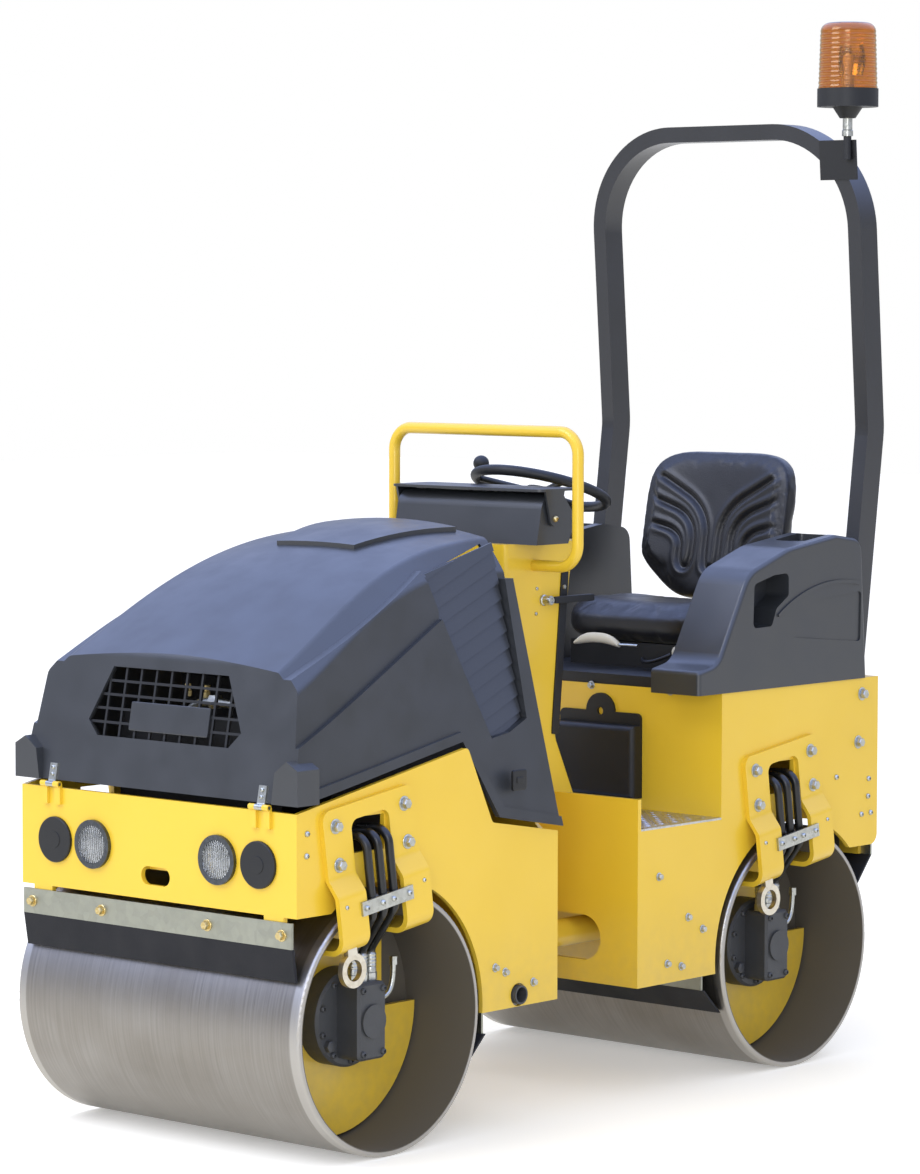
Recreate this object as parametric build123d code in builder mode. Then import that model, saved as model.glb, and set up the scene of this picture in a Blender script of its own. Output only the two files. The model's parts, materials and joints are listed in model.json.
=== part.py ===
# A small articulated tandem road roller: two smooth steel drums, a front frame with the
# engine under a forward-tipping hood, and a rear frame with the operator's seat and a
# roll-over bar. Millimetres, +Z up, the front faces -Y and the operator's left is +X.
# The origin is on the ground at the middle of the overall length.
from build123d import *
from math import cos, hypot, radians, sin, sqrt
import os

os.makedirs("parts", exist_ok=True)

# Drums
drum_width = 900
drum_diameter = 600
drum_wall = 14
drum_rim_round = 6
drum_recess = 214
web_thickness = 16
core_tube_radius = 90
core_tube_wall = 10
stub_radius = 45
wheelbase = 1500

# Clearances
running_fit = 0.05
seat_gap = 0.3
moving_gap = 5
shaft_end_gap = 1

# Plates of both frames
plate = 12
arch_gap = 24

# Front frame, lengths measured from the front axle, heights from the ground
front_plate_inset = 10
panel_ahead = 293
panel_bottom = 567
panel_top = 797
panel_slot_length = 92
panel_slot_height = 42
panel_slot_z = 621
engine_deck_z = 632
front_lower_edge = 282
front_rear_edge = 590
front_plate_top = 885
hood_reveal = 12
wall_top_inset = 60
plate_corner = 14
lamp_x = 200
lamp_z = 677
lamp_radius = 50
lamp_depth = 45
bezel_lip = 6
bezel_depth = 9
lens_recess = 4
cover_x = 326
cover_radius = 53
cover_depth = 8
cover_round = 3

# Rear frame, lengths measured from the rear axle
platform_front = 625
platform_z = 650
toe_board_top = 727
rear_lower_edge = 272
seat_box_front = 302
seat_deck_z = 960
rear_plate_end = 345
rear_plate_bottom = 530
tail_wall_bottom = 590
wall_port_z = 380
document_x = 70
document_width = 260
document_depth = 40
document_z = 683
document_height = 210
document_pocket = 180
document_round = 14
document_sheet = 8
document_tab = 45
document_tab_hole = 10
wall_port_x = 235
wall_port_width = 200
wall_port_height = 110

# Articulation
hitch_z = 400
pin_radius = 30
lug_half_width = 60
lug_thickness = 22
lug_spacing = 110
trunnion_radius = 45
bearing_wall = 22
bearing_length = 190

# Steering cylinder
cylinder_x = 215
cylinder_z = 385
cylinder_rear_reach = 355
cylinder_eye_ahead = 100
barrel_radius = 34
barrel_length = 290
rod_radius = 14
barrel_bore_start = 40
rod_inner_end = 160
eye_radius = 26
eye_height = 30
eye_pin_radius = 12
fork_thickness = 14

# Drum supports
bracket_tilt = 8
bracket_ahead = 65
bracket_height = 435
bracket_half_length = 150
bracket_top = 82
joggle_start = -72
joggle_end = -112
joggle_out = 26
joggle_round = 20
shelf_drop = 245
shelf_round = 40
bracket_corner = 25
window_half = 62
window_top = 45
window_corner = 22
support_inset = 180
support_plate = 14
support_radius = 278
neck_edge = 165

# Travel motors, hoses, lashing rings
motor_flange_radius = 112
motor_flange_depth = 58
motor_block_width = 92
motor_block_height = 176
motor_block_depth = 68
motor_block_round = 14
motor_chamfer = 6
motor_boss_radius = 38
motor_boss_depth = 6
hose_radius = 10
hose_pitch = 36
hose_inside = 50
hose_bulge = 3
hose_rise = 6
hose_below_clamp = 25
hose_port_share = 0.8
hose_port_drop = 70
hose_bend = 32
hose_port_length = 108
hose_port_height = 80
clamp_width = 168
clamp_height = 32
clamp_thickness = 6
clamp_drop = 150
ring_bore = 24
ring_strap = 15
ring_thickness = 14

# Scrapers
scraper_bar_height = 58
scraper_bar_thickness = 6
scraper_bar_top = 557
scraper_blade_thickness = 8
scraper_half_length = 430
scraper_tab = 60
scraper_slot = 30
scraper_slot_height = 12
blade_tip_z = 424
inner_bar_top = 330
inner_bar_height = 100
inner_blade_tip_z = 168
inner_bar_reach = 345

# Hood. Each cross section: its distance ahead of the articulation pin, then half width and
# height of the side crease, half width and height of the roof's edge, height of the crown.
hood_sections = [
    (1150, 375, 1000, 322, 1030, 1046),
    (985, 387, 1060, 335, 1100, 1118),
    (520, 338, 1270, 290, 1325, 1345),
    (235, 326, 1285, 277, 1362, 1390),
    (60, 322, 1280, 272, 1362, 1390),
]
hood_foot_half = 441
hood_foot_z = 640
hood_edge_round = 22
hood_wall = 6
hood_front_bottom = 815
hood_nose_top = 1122
hood_nose_lean = 58
hood_brow_round = 40
hood_brow_slope = 0.62
hood_rear_top_gap = 235
hood_rear_gap = 160
hood_flap_bottom = 692
hood_flap_front = 380
hood_flap_rise = 40
hood_lip_rear = 478
hood_lip_rear_z = 912
hood_open_drop = 60
band_raise = 12
flare_raise = 22
lip_raise = 30
lip_height = 22
ridge_raise = 10
ridge_front_ahead = 520
ridge_front_half = 124
ridge_rear_ahead = 250
ridge_rear_half = 200
cheek_outline = [(452, 815), (452, 893), (418, 912), (382, 885), (372, 815)]
cheek_depth = 10
cheek_behind = 60
louvre_angle = 21
louvre_proud = 8
louvre_overlap = 8
louvre_blade = 4
louvre_reach = 320
louvre_pitch = 36
hinge_x = 335
hinge_width = 60
hinge_barrel = 7
hinge_standoff = 1
hinge_knuckle = 18
hinge_leaf_height = 38
hinge_pin = 4
hinge_leaf = 4
grille_half_top = 244
grille_half_bottom = 210
grille_bottom = 112
grille_top = 272
grille_corner = 35
grille_slant = 60
grille_rim = 12
grille_thickness = 6
grille_bar = 6
grille_columns = 10
grille_rows = 5

# Engine and what shows through the grille
engine_width = 480
engine_length = 470
engine_height = 440
engine_chamfer = 40
engine_behind = 30
radiator_width = 470
radiator_height = 330
radiator_depth = 50
radiator_ahead = 175
exhaust_root_x = 90
exhaust_strap = 24
exhaust_radius = 22
exhaust_bore = 18
exhaust_behind = 450
exhaust_z = 310

# Steering console on the rear frame, lengths measured from the articulation pin
column_half_width = 160
column_front = -28
column_rear_foot = 165
column_rear_top = 275
column_top = 1332
column_waist_z = 860
column_rear_neck = 222
column_neck_z = 1262
column_neck_round = 60
column_round = 12
column_step = 80
column_foot = 130
tread_thickness = 5
dash_half_width = 232
dash_front = 5
dash_rear = 150
dash_top = 1455
dash_front_round = 45
dash_lean = 23
dash_panel_top = 100
dash_panel_z = 1393
dash_tuck = 28
dash_edge_round = 12
lid_gap = 5
lid_thickness = 6
lid_corner = 20
lid_arm = 18
lid_pivot_y = 60
lid_pivot_z = 1394
lid_pin_radius = 6
wheel_y = 292
wheel_z = 1452
wheel_tilt = 18
wheel_radius = 165
wheel_rim_radius = 13
wheel_hub_radius = 34
wheel_hub_height = 30
wheel_shaft_radius = 14
spoke_turns = (90, 210, 330)
spoke_radius = 8
spoke_drop = 12
knob_radius = 20
knob_height = 40
knob_turn = 205
rail_y = 80
rail_half_width = 297
rail_top = 1602
rail_foot_z = 1278
rail_radius = 14
rail_bend = 55

# Seat
seat_base_height = 26
seat_base_side_gap = 6
seat_pedestal_height = 62
seat_half_width = 232
seat_base_setback = 4
seat_base_round = 30
pedestal_half_width = 202
pedestal_front_gap = 40
pedestal_rear_gap = 20
cushion_front = -140
cushion_rear = 175
cushion_height = 112
cushion_corner = 50
cushion_round = 28
back_overlap = 35
back_height = 415
back_thickness = 90
back_lean = 78
back_corner = 90
back_round = 24

# Side consoles beside the seat. Their outlines are seen from the side, each point behind the
# rear axle and above the console's foot; a bend is a corner's number and its radius.
fender_width = 150
fender_overhang = 6
fender_front = 400
fender_rear = 288
fender_seat = 2
fender_height = 367
fender_nose = 56
fender_profile = [(-324, 71), (-202, 288), (-40, 342), (155, 367), (264, 352)]
fender_bends = [(1, 12), (2, 60), (3, 90), (4, 160), (6, 40)]
fender_pocket = [(-187, 150), (-111, 152), (-93, 195), (-43, 225), (-44, 281), (-103, 278), (-183, 259)]
fender_panel = [(-28, 119), (258, 93), (261, 221), (82, 208), (-19, 174)]
fender_rib = [(-84, 178), (35, 231), (250, 242)]
fender_edge_round = 10
pocket_depth = 70
pocket_round = 14
panel_depth = 4
panel_round = 10
rib_width = 9
rib_height = 4
tray_behind = 108
tray_length = 113
tray_width = 92
tray_depth = 18
tray_round = 14

# Roll-over bar
bar_width = 40
bar_depth = 70
bar_foot_z = 770
bar_foot_behind = 235
bar_bend_z = 1590
bar_bend_behind = 344
bar_top = 2368
bar_top_behind = 285
bar_corner = 250
bar_bend_round = 150

# Beacon
beacon_radius = 74
beacon_base_height = 46
beacon_base_z = 2404
beacon_lens_height = 165
beacon_stem_radius = 10
beacon_x = 415
beacon_base_lip = 3
beacon_neck = 28
beacon_taper = 5
beacon_dome = 28
bracket_low = 2222
bracket_high = 2322
bracket_inner_x = 322
bracket_sheet = 6

# Worked out from the driving dimensions
drum_radius = drum_diameter / 2
front_overhang = panel_ahead + 2 * hinge_barrel + hinge_standoff
rear_overhang = bar_bend_behind + bar_depth / 2
pin_y = (front_overhang - rear_overhang) / 2
front_axle_y = pin_y - wheelbase / 2
rear_axle_y = pin_y + wheelbase / 2
drum_edge = drum_width / 2
front_half_width = drum_edge - front_plate_inset
rear_half_width = drum_edge
arch_radius = drum_radius + arch_gap
support_face = drum_edge - support_inset
panel_y = front_axle_y - panel_ahead
front_wall_y = front_axle_y + front_rear_edge
platform_y = rear_axle_y - platform_front
seat_wall_y = rear_axle_y - seat_box_front
tail_y = rear_axle_y + rear_plate_end
hinge_y = panel_y - hinge_barrel - hinge_standoff
hinge_z = (panel_top + hood_front_bottom) / 2
nose_rise = hood_nose_top - hood_front_bottom
seat_base_half_width = rear_half_width + fender_overhang - fender_width - seat_base_side_gap
cushion_bottom = seat_deck_z + seat_base_height + seat_pedestal_height
cushion_top = cushion_bottom + cushion_height
back_bottom = cushion_top - back_overlap
back_top = back_bottom + back_height
fender_bottom = seat_deck_z + fender_seat


def block(x0, x1, y0, y1, z0, z1, mode=Mode.ADD):
    """A box between two corners, added to the piece that is being built."""
    with Locations(((x0 + x1) / 2, (y0 + y1) / 2, (z0 + z1) / 2)):
        Box(x1 - x0, y1 - y0, z1 - z0, mode=mode)


def prism(plane, points, depth, mode=Mode.ADD, rounds=()):
    """A closed outline on a plane, pulled along the plane's normal.

    Each round is the number of a corner and its radius.
    """
    with BuildSketch(plane) as outline:
        with BuildLine():
            Polyline(*points, close=True)
        make_face()
        for corner, radius in rounds:
            place = Vector(*points[corner], 0)
            fillet(outline.vertices().sort_by_distance(place)[0], radius=radius)
    extrude(outline.sketch, amount=depth, mode=mode)


def rod(start, end, radius, mode=Mode.ADD):
    """A round bar between two points."""
    run = Vector(*end) - Vector(*start)
    with BuildSketch(Plane(origin=start, z_dir=run)) as section:
        Circle(radius)
    extrude(section.sketch, amount=run.length, mode=mode)


def tube(points, bend, radius):
    """A round tube or hose along straight runs joined by tangent arcs."""
    with BuildLine() as path:
        FilletPolyline(*points, radius=bend)
    with BuildSketch(path.line ^ 0) as section:
        Circle(radius)
    sweep(section.sketch, path=path.line)


def across(half_width):
    """The YZ plane at the right end of something that reaches half_width to both sides."""
    return Plane.YZ.offset(-half_width)


def both_sides(points, inner, outer, mode=Mode.ADD, rounds=()):
    """The same side outline on the left and on the right of the machine."""
    prism(Plane.YZ.offset(inner), points, outer - inner, mode, rounds)
    prism(Plane.YZ.offset(-outer), points, outer - inner, mode, rounds)


def axle_cylinder(axle_y, radius, half_width, mode=Mode.ADD):
    """A cylinder across the machine on a drum's axis."""
    with BuildSketch(across(half_width)) as circle:
        with Locations((axle_y, drum_radius)):
            Circle(radius)
    extrude(circle.sketch, amount=2 * half_width, mode=mode)


def drum_body(axle_y):
    """Rolled shell, two welded end webs, a core tube and a stub shaft at each end."""
    middle = Plane(origin=(0, axle_y, drum_radius), x_dir=(1, 0, 0), z_dir=(0, -1, 0))
    web_out = drum_edge - drum_recess
    stub_end = support_face - shaft_end_gap
    with BuildPart() as body:
        with BuildSketch(middle) as half_section:
            with Locations((0, drum_radius - drum_wall / 2)):
                Rectangle(drum_width, drum_wall)
            for side in (-1, 1):
                with Locations((side * (web_out - web_thickness / 2), (drum_radius - drum_wall) / 2)):
                    Rectangle(web_thickness, drum_radius - drum_wall)
                with Locations((side * (stub_end + web_out - web_thickness) / 2, stub_radius / 2)):
                    Rectangle(stub_end - web_out + web_thickness, stub_radius)
            with Locations((0, core_tube_radius - core_tube_wall / 2)):
                Rectangle(2 * web_out - web_thickness, core_tube_wall)
            rim = [v for v in half_section.vertices() if v.Y > drum_radius - 1 and abs(v.X) > drum_edge - 1]
            fillet(rim, radius=drum_rim_round)
        revolve(half_section.sketch, Axis((0, axle_y, drum_radius), (1, 0, 0)))
    return body.part


def bracket_plane(axle_y):
    """A plane square to the tilted bracket: its x is across, its y is up the bracket."""
    tilt = radians(bracket_tilt)
    centre = (0, axle_y - bracket_ahead, drum_radius + bracket_height)
    return Plane(origin=centre, x_dir=(1, 0, 0), z_dir=(0, -cos(tilt), -sin(tilt)))


def bracket_point(axle_y, x, along, up):
    """A point given across the machine, along the tilted bracket and up it."""
    tilt = radians(bracket_tilt)
    return (
        x,
        axle_y - bracket_ahead + along * cos(tilt) - up * sin(tilt),
        drum_radius + bracket_height + along * sin(tilt) + up * cos(tilt),
    )


def drum_support(axle_y, face_x):
    """Bolted bracket with two joggled legs, its shelf and the plate that carries the drum."""
    low = face_x + joggle_out
    section = [
        (face_x, bracket_top),
        (face_x + plate, bracket_top),
        (face_x + plate, joggle_start),
        (low + plate, joggle_end),
        (low + plate, -shelf_drop),
        (support_face - support_plate, -shelf_drop),
        (support_face - support_plate, -shelf_drop + plate),
        (low, -shelf_drop + plate),
        (low, joggle_end),
        (face_x, joggle_start),
    ]
    slab = bracket_plane(axle_y)
    bends = [(2, joggle_round), (3, joggle_round), (8, joggle_round), (9, joggle_round)]
    bends += [(4, shelf_round), (7, shelf_round - plate)]
    tilt = radians(bracket_tilt)
    with BuildPart() as body:
        prism(slab.offset(-bracket_half_length), section, 2 * bracket_half_length, rounds=bends)
        top = body.faces().sort_by(Axis.Z)[-1]
        fillet(top.edges().filter_by(Axis.X), radius=bracket_corner)
        side = Plane(
            origin=bracket_point(axle_y, support_face, 0, 0), x_dir=(0, cos(tilt), sin(tilt)), z_dir=(1, 0, 0)
        )
        low_edge = -shelf_drop - plate
        window = [
            (-window_half, low_edge), (-window_half, window_top),
            (window_half, window_top), (window_half, low_edge),
        ]
        prism(
            side, window, low + 2 * plate - support_face, Mode.SUBTRACT,
            rounds=[(1, window_corner), (2, window_corner)],
        )
        with BuildSketch(Plane.YZ.offset(support_face - support_plate)) as disc:
            with Locations((axle_y, drum_radius)):
                Circle(support_radius)
                Circle(stub_radius + running_fit, mode=Mode.SUBTRACT)
            with Locations((axle_y + neck_edge + support_radius / 2, drum_radius + support_radius / 2)):
                Rectangle(support_radius, support_radius, mode=Mode.SUBTRACT)
            shelf_centre = bracket_point(axle_y, 0, 0, -shelf_drop + plate)
            with Locations(Location((shelf_centre[1], shelf_centre[2]), bracket_tilt)):
                with Locations((0, support_radius / 2)):
                    Rectangle(4 * support_radius, support_radius, mode=Mode.SUBTRACT)
        extrude(disc.sketch, amount=support_plate)
    return body.part


def travel_motor(axle_y):
    """Round flange with a rounded valve block and a cover boss on it."""
    flange_end = support_face + motor_flange_depth
    block_end = flange_end + motor_block_depth
    with BuildPart() as body:
        block(
            support_face, block_end,
            axle_y - motor_block_width / 2, axle_y + motor_block_width / 2,
            drum_radius - motor_block_height / 2, drum_radius + motor_block_height / 2,
        )
        fillet(body.edges().filter_by(Axis.X), radius=motor_block_round)
        chamfer(body.faces().sort_by(Axis.X)[-1].edges(), length=motor_chamfer)
        with BuildPart(mode=Mode.PRIVATE) as flange:
            rod((support_face, axle_y, drum_radius), (flange_end, axle_y, drum_radius), motor_flange_radius)
            chamfer(flange.faces().sort_by(Axis.X)[-1].edges(), length=motor_chamfer)
        add(flange.part)
        rod(
            (block_end, axle_y, drum_radius),
            (block_end + motor_boss_depth, axle_y, drum_radius),
            motor_boss_radius,
        )
    return body.part


def motor_hoses(axle_y, face_x):
    """Three hoses out of the frame, down through the bracket's window to the motor."""
    out_x = drum_edge + moving_gap + hose_radius + hose_bulge
    port_x = support_face + motor_flange_depth + motor_block_depth / 2
    port_z = drum_radius + motor_block_height / 2
    with BuildPart() as body:
        for along in (-hose_pitch, 0, hose_pitch):
            start = bracket_point(axle_y, face_x - plate - hose_inside, along, 0)
            port_y = axle_y + along * hose_port_share
            over = bracket_point(axle_y, out_x, along, hose_rise)
            down = bracket_point(axle_y, out_x, along, -clamp_drop - hose_below_clamp)
            tube(
                [start, over, down, (port_x, port_y, port_z + hose_port_drop), (port_x, port_y, port_z)],
                hose_bend, hose_radius,
            )
    return body.part


def hose_clamp(axle_y, face_x):
    """Flat clamp bar across the bracket's two legs."""
    face = face_x + joggle_out + plate
    slab = bracket_plane(axle_y)
    with BuildPart() as body:
        bar = [
            (face, -clamp_drop - clamp_height / 2),
            (face + clamp_thickness, -clamp_drop - clamp_height / 2),
            (face + clamp_thickness, -clamp_drop + clamp_height / 2),
            (face, -clamp_drop + clamp_height / 2),
        ]
        prism(slab.offset(-clamp_width / 2), bar, clamp_width)
    return body.part


def lashing_ring(axle_y, face_x):
    """Flat eye for a lashing hook, its neck seated against the bend under the bracket's front leg."""
    outer = ring_bore + ring_strap
    inner_x = face_x + joggle_out - ring_thickness
    along = -bracket_half_length + outer
    centre = bracket_point(axle_y, inner_x, along, -shelf_drop - outer - seat_gap)
    bend = (face_x + joggle_out + plate - shelf_round, -shelf_drop + shelf_round)
    across_neck = bracket_plane(axle_y).offset(-along - ring_strap)
    with BuildPart() as body:
        neck = [
            (inner_x, -shelf_drop - ring_strap), (inner_x + ring_thickness, -shelf_drop - ring_strap),
            (inner_x + ring_thickness, bend[1]), (inner_x, bend[1]),
        ]
        prism(across_neck, neck, 2 * ring_strap)
        with BuildSketch(across_neck) as bend_room:
            with Locations(bend):
                Circle(shelf_round + seat_gap)
        extrude(bend_room.sketch, amount=2 * ring_strap, mode=Mode.SUBTRACT)
        with BuildSketch(Plane.YZ.offset(inner_x)) as eye:
            with Locations((centre[1], centre[2])):
                Circle(outer)
        extrude(eye.sketch, amount=ring_thickness)
        with BuildSketch(Plane.YZ.offset(inner_x)) as bore:
            with Locations((centre[1], centre[2])):
                Circle(ring_bore)
        extrude(bore.sketch, amount=ring_thickness, mode=Mode.SUBTRACT)
    return body.part


def hood_side(*points):
    """Points of the hood's side view, given ahead of the articulation pin and above ground."""
    return [(pin_y - ahead, z) for ahead, z in points]


def hood_form(inset, drop):
    """The hood's outer form, or its hollow when it is set in and dropped through the bottom.

    Cross sections with leaning sides, soft shoulders and a crowned roof are lofted along the
    machine. The nose is cut on its leaning plane and the brow rounded over it; the rear and
    the lower edge follow the outline seen from the side.
    """
    slope = hood_nose_lean / nose_rise
    nose_inset = hood_wall if drop else 0
    nose_y = panel_y + nose_inset
    brow_z = hood_nose_top - nose_inset
    brow_y = nose_y + slope * (brow_z - hood_front_bottom)
    rear_y = pin_y - hood_rear_top_gap + drop
    side = [
        (nose_y - slope * drop, hood_front_bottom - drop),
        (brow_y, brow_z),
        (rear_y, brow_z + (rear_y - brow_y) * hood_brow_slope),
        (rear_y, hood_sections[-1][-1] - inset),
        (pin_y - hood_rear_gap + drop, hood_flap_bottom - drop),
        (pin_y - hood_flap_front, hood_flap_bottom + hood_flap_rise - drop),
        (pin_y - hood_lip_rear, hood_lip_rear_z - drop),
    ]
    foot = hood_foot_half - inset
    low = hood_foot_z - 2 * hood_open_drop
    lean = (hood_foot_half - hood_sections[1][1]) / (hood_sections[1][2] - hood_foot_z)
    foot_low = foot + (hood_foot_z - low) * lean
    with BuildPart() as body:
        for ahead, crease_x, crease_z, edge_x, edge_z, crown_z in hood_sections:
            crease = (crease_x - inset, crease_z - inset / 2)
            edge = (edge_x - inset, edge_z - inset)
            with BuildSketch(Plane.XZ.offset(ahead - pin_y)) as section:
                with BuildLine():
                    ThreePointArc((-edge[0], edge[1]), (0, crown_z - inset), edge)
                    Polyline(
                        edge, crease, (foot_low, low), (-foot_low, low), (-crease[0], crease[1]),
                        (-edge[0], edge[1]),
                    )
                make_face()
                fillet([v for v in section.vertices() if v.Y > hood_foot_z], radius=hood_edge_round)
        loft()
        with BuildSketch(across(2 * foot_low)) as trim:
            with BuildLine():
                Polyline(*side, close=True)
            make_face()
            fillet([v for v in trim.vertices() if abs(v.Y - brow_z) < 1], radius=hood_brow_round)
        extrude(trim.sketch, amount=4 * foot_low, mode=Mode.INTERSECT)
    return body.part


def hood_region(inset, drop, points, shrink=0):
    """The part of a hood form that lies inside an outline of the side view."""
    with BuildPart() as body:
        add(hood_form(inset, drop))
        with BuildSketch(across(2 * hood_foot_half)) as outline:
            with BuildLine():
                Polyline(*points, close=True)
            make_face()
            if shrink:
                offset(amount=-shrink, kind=Kind.INTERSECTION)
        extrude(outline.sketch, amount=4 * hood_foot_half, mode=Mode.INTERSECT)
    return body.part


with BuildPart() as front_drum:
    add(drum_body(front_axle_y))
front_drum.part.label = "front_drum"

with BuildPart() as rear_drum:
    add(drum_body(rear_axle_y))
rear_drum.part.label = "rear_drum"

# Front frame: side plates with the drum's arch, front panel, engine deck, rear wall and
# the bearing of the oscillation trunnion.
with BuildPart() as front_frame:
    front_side = [
        (panel_y, panel_bottom),
        (panel_y, panel_top),
        (pin_y - hood_lip_rear, hood_lip_rear_z - hood_reveal),
        (pin_y - hood_flap_front - hood_reveal, hood_flap_bottom + hood_flap_rise - hood_reveal),
        (front_wall_y, hood_flap_bottom - hood_reveal),
        (front_wall_y, front_lower_edge),
        (front_axle_y, front_lower_edge),
        (front_axle_y, panel_bottom),
    ]
    front_rounds = [(1, plate_corner), (2, plate_corner), (3, plate_corner)]
    both_sides(front_side, front_half_width - plate, front_half_width, rounds=front_rounds)
    axle_cylinder(front_axle_y, arch_radius, front_half_width, Mode.SUBTRACT)
    block(-front_half_width, front_half_width, panel_y, panel_y + plate, panel_bottom, panel_top)
    block(-front_half_width, front_half_width, panel_y, front_wall_y, engine_deck_z, engine_deck_z + plate)
    wall_top_half = front_half_width - wall_top_inset
    rear_wall = [
        (-front_half_width, front_lower_edge), (front_half_width, front_lower_edge),
        (front_half_width, engine_deck_z + plate), (wall_top_half, hood_flap_bottom),
        (wall_top_half, front_plate_top), (-wall_top_half, front_plate_top),
        (-wall_top_half, hood_flap_bottom), (-front_half_width, engine_deck_z + plate),
    ]
    prism(Plane.XZ.offset(-front_wall_y), rear_wall, plate)
    cross_y = front_axle_y + inner_bar_reach
    block(
        -front_half_width, front_half_width, cross_y, cross_y + plate,
        front_lower_edge, inner_bar_top + scraper_bar_height,
    )
    bearing_end_y = front_wall_y - bearing_length
    rod((0, front_wall_y, hitch_z), (0, bearing_end_y, hitch_z), trunnion_radius + bearing_wall)
    rod(
        (0, front_wall_y + plate, hitch_z), (0, bearing_end_y - plate, hitch_z),
        trunnion_radius + running_fit, Mode.SUBTRACT,
    )
    for side in (-1, 1):
        rod(
            (side * lamp_x, panel_y - plate, lamp_z), (side * lamp_x, panel_y + lamp_depth + seat_gap, lamp_z),
            lamp_radius, Mode.SUBTRACT,
        )
        tab_x = side * (scraper_half_length - scraper_tab)
        block(
            tab_x - scraper_tab / 2, tab_x + scraper_tab / 2, panel_y, panel_y + plate,
            scraper_bar_top - scraper_bar_height, panel_bottom,
        )
        window = bracket_point(front_axle_y, side * front_half_width, 0, 0)
        with Locations(window):
            Box(4 * plate, hose_port_length, hose_port_height, mode=Mode.SUBTRACT)
        for end in (-1, 1):
            x0, x1 = sorted((
                side * hinge_x + end * hinge_width / 2,
                side * hinge_x + end * (hinge_width / 2 - hinge_knuckle),
            ))
            block(x0, x1, hinge_y, panel_y, panel_top - hinge_leaf_height, hinge_z)
            rod((x0, hinge_y, hinge_z), (x1, hinge_y, hinge_z), hinge_barrel)
            rod((x0, hinge_y, hinge_z), (x1, hinge_y, hinge_z), hinge_pin + running_fit, Mode.SUBTRACT)
    with BuildSketch(Plane.XZ.offset(-panel_y - 2 * plate)) as slot:
        with Locations((0, panel_slot_z)):
            SlotOverall(panel_slot_length, panel_slot_height)
    extrude(slot.sketch, amount=4 * plate, mode=Mode.SUBTRACT)
    exhaust_y = front_axle_y + exhaust_behind
    rod(
        (0, exhaust_y, exhaust_z), (drum_edge, exhaust_y, exhaust_z),
        exhaust_radius + moving_gap, Mode.SUBTRACT,
    )
front_frame.part.label = "front_frame"

with BuildPart() as engine_block:
    engine_y = front_axle_y + engine_behind
    block(
        -engine_width / 2, engine_width / 2, engine_y, engine_y + engine_length,
        engine_deck_z + plate, engine_deck_z + plate + engine_height,
    )
    chamfer(engine_block.faces().sort_by(Axis.Z)[-1].edges(), length=engine_chamfer)
engine_block.part.label = "engine_block"

with BuildPart() as radiator:
    radiator_y = front_axle_y - radiator_ahead
    block(
        -radiator_width / 2, radiator_width / 2, radiator_y, radiator_y + radiator_depth,
        engine_deck_z + plate, engine_deck_z + plate + radiator_height,
    )
radiator.part.label = "radiator"

with BuildPart() as headlamps:
    for side in (-1, 1):
        axis_x = side * lamp_x
        rod((axis_x, panel_y, lamp_z), (axis_x, panel_y + lamp_depth, lamp_z), lamp_radius - seat_gap)
        rod((axis_x, panel_y, lamp_z), (axis_x, panel_y - bezel_depth, lamp_z), lamp_radius + bezel_lip)
        rod(
            (axis_x, panel_y - bezel_depth, lamp_z), (axis_x, panel_y - bezel_depth + lens_recess, lamp_z),
            lamp_radius - bezel_lip, Mode.SUBTRACT,
        )
headlamps.part.label = "headlamps"

with BuildPart() as lamp_covers:
    for side in (-1, 1):
        with BuildPart(mode=Mode.PRIVATE) as cover:
            rod((side * cover_x, panel_y, lamp_z), (side * cover_x, panel_y - cover_depth, lamp_z), cover_radius)
            fillet(cover.faces().sort_by(Axis.Y)[0].edges(), radius=cover_round)
        add(cover.part)
lamp_covers.part.label = "lamp_covers"

with BuildPart() as exhaust_pipe:
    root = (exhaust_root_x, exhaust_y, exhaust_z)
    mouth = (drum_edge, exhaust_y, exhaust_z)
    block(
        exhaust_root_x, exhaust_root_x + exhaust_strap, exhaust_y, front_wall_y - plate,
        exhaust_z - exhaust_strap / 2, exhaust_z + exhaust_strap / 2,
    )
    rod(root, mouth, exhaust_radius)
    rod(root, mouth, exhaust_bore, Mode.SUBTRACT)
exhaust_pipe.part.label = "exhaust_pipe"


def pair(make, axle_y, face_x):
    """One piece made for the left side and its mirror image on the right."""
    with BuildPart() as both:
        add(make(axle_y, face_x))
        mirror(about=Plane.YZ)
    return both.part


def motor_pair(axle_y):
    """Both travel motors of a drum."""
    with BuildPart() as both:
        add(travel_motor(axle_y))
        mirror(about=Plane.YZ)
    return both.part


with BuildPart() as front_drum_supports:
    add(pair(drum_support, front_axle_y, front_half_width))
front_drum_supports.part.label = "front_drum_supports"

with BuildPart() as rear_drum_supports:
    add(pair(drum_support, rear_axle_y, rear_half_width))
rear_drum_supports.part.label = "rear_drum_supports"

with BuildPart() as front_motors:
    add(motor_pair(front_axle_y))
front_motors.part.label = "front_motors"

with BuildPart() as rear_motors:
    add(motor_pair(rear_axle_y))
rear_motors.part.label = "rear_motors"

with BuildPart() as front_hoses:
    add(pair(motor_hoses, front_axle_y, front_half_width))
front_hoses.part.label = "front_hoses"

with BuildPart() as rear_hoses:
    add(pair(motor_hoses, rear_axle_y, rear_half_width))
rear_hoses.part.label = "rear_hoses"

with BuildPart() as front_hose_clamps:
    add(pair(hose_clamp, front_axle_y, front_half_width))
front_hose_clamps.part.label = "front_hose_clamps"

with BuildPart() as rear_hose_clamps:
    add(pair(hose_clamp, rear_axle_y, rear_half_width))
rear_hose_clamps.part.label = "rear_hose_clamps"

with BuildPart() as front_lashing_rings:
    add(pair(lashing_ring, front_axle_y, front_half_width))
front_lashing_rings.part.label = "front_lashing_rings"

with BuildPart() as rear_lashing_rings:
    add(pair(lashing_ring, rear_axle_y, rear_half_width))
rear_lashing_rings.part.label = "rear_lashing_rings"


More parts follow.
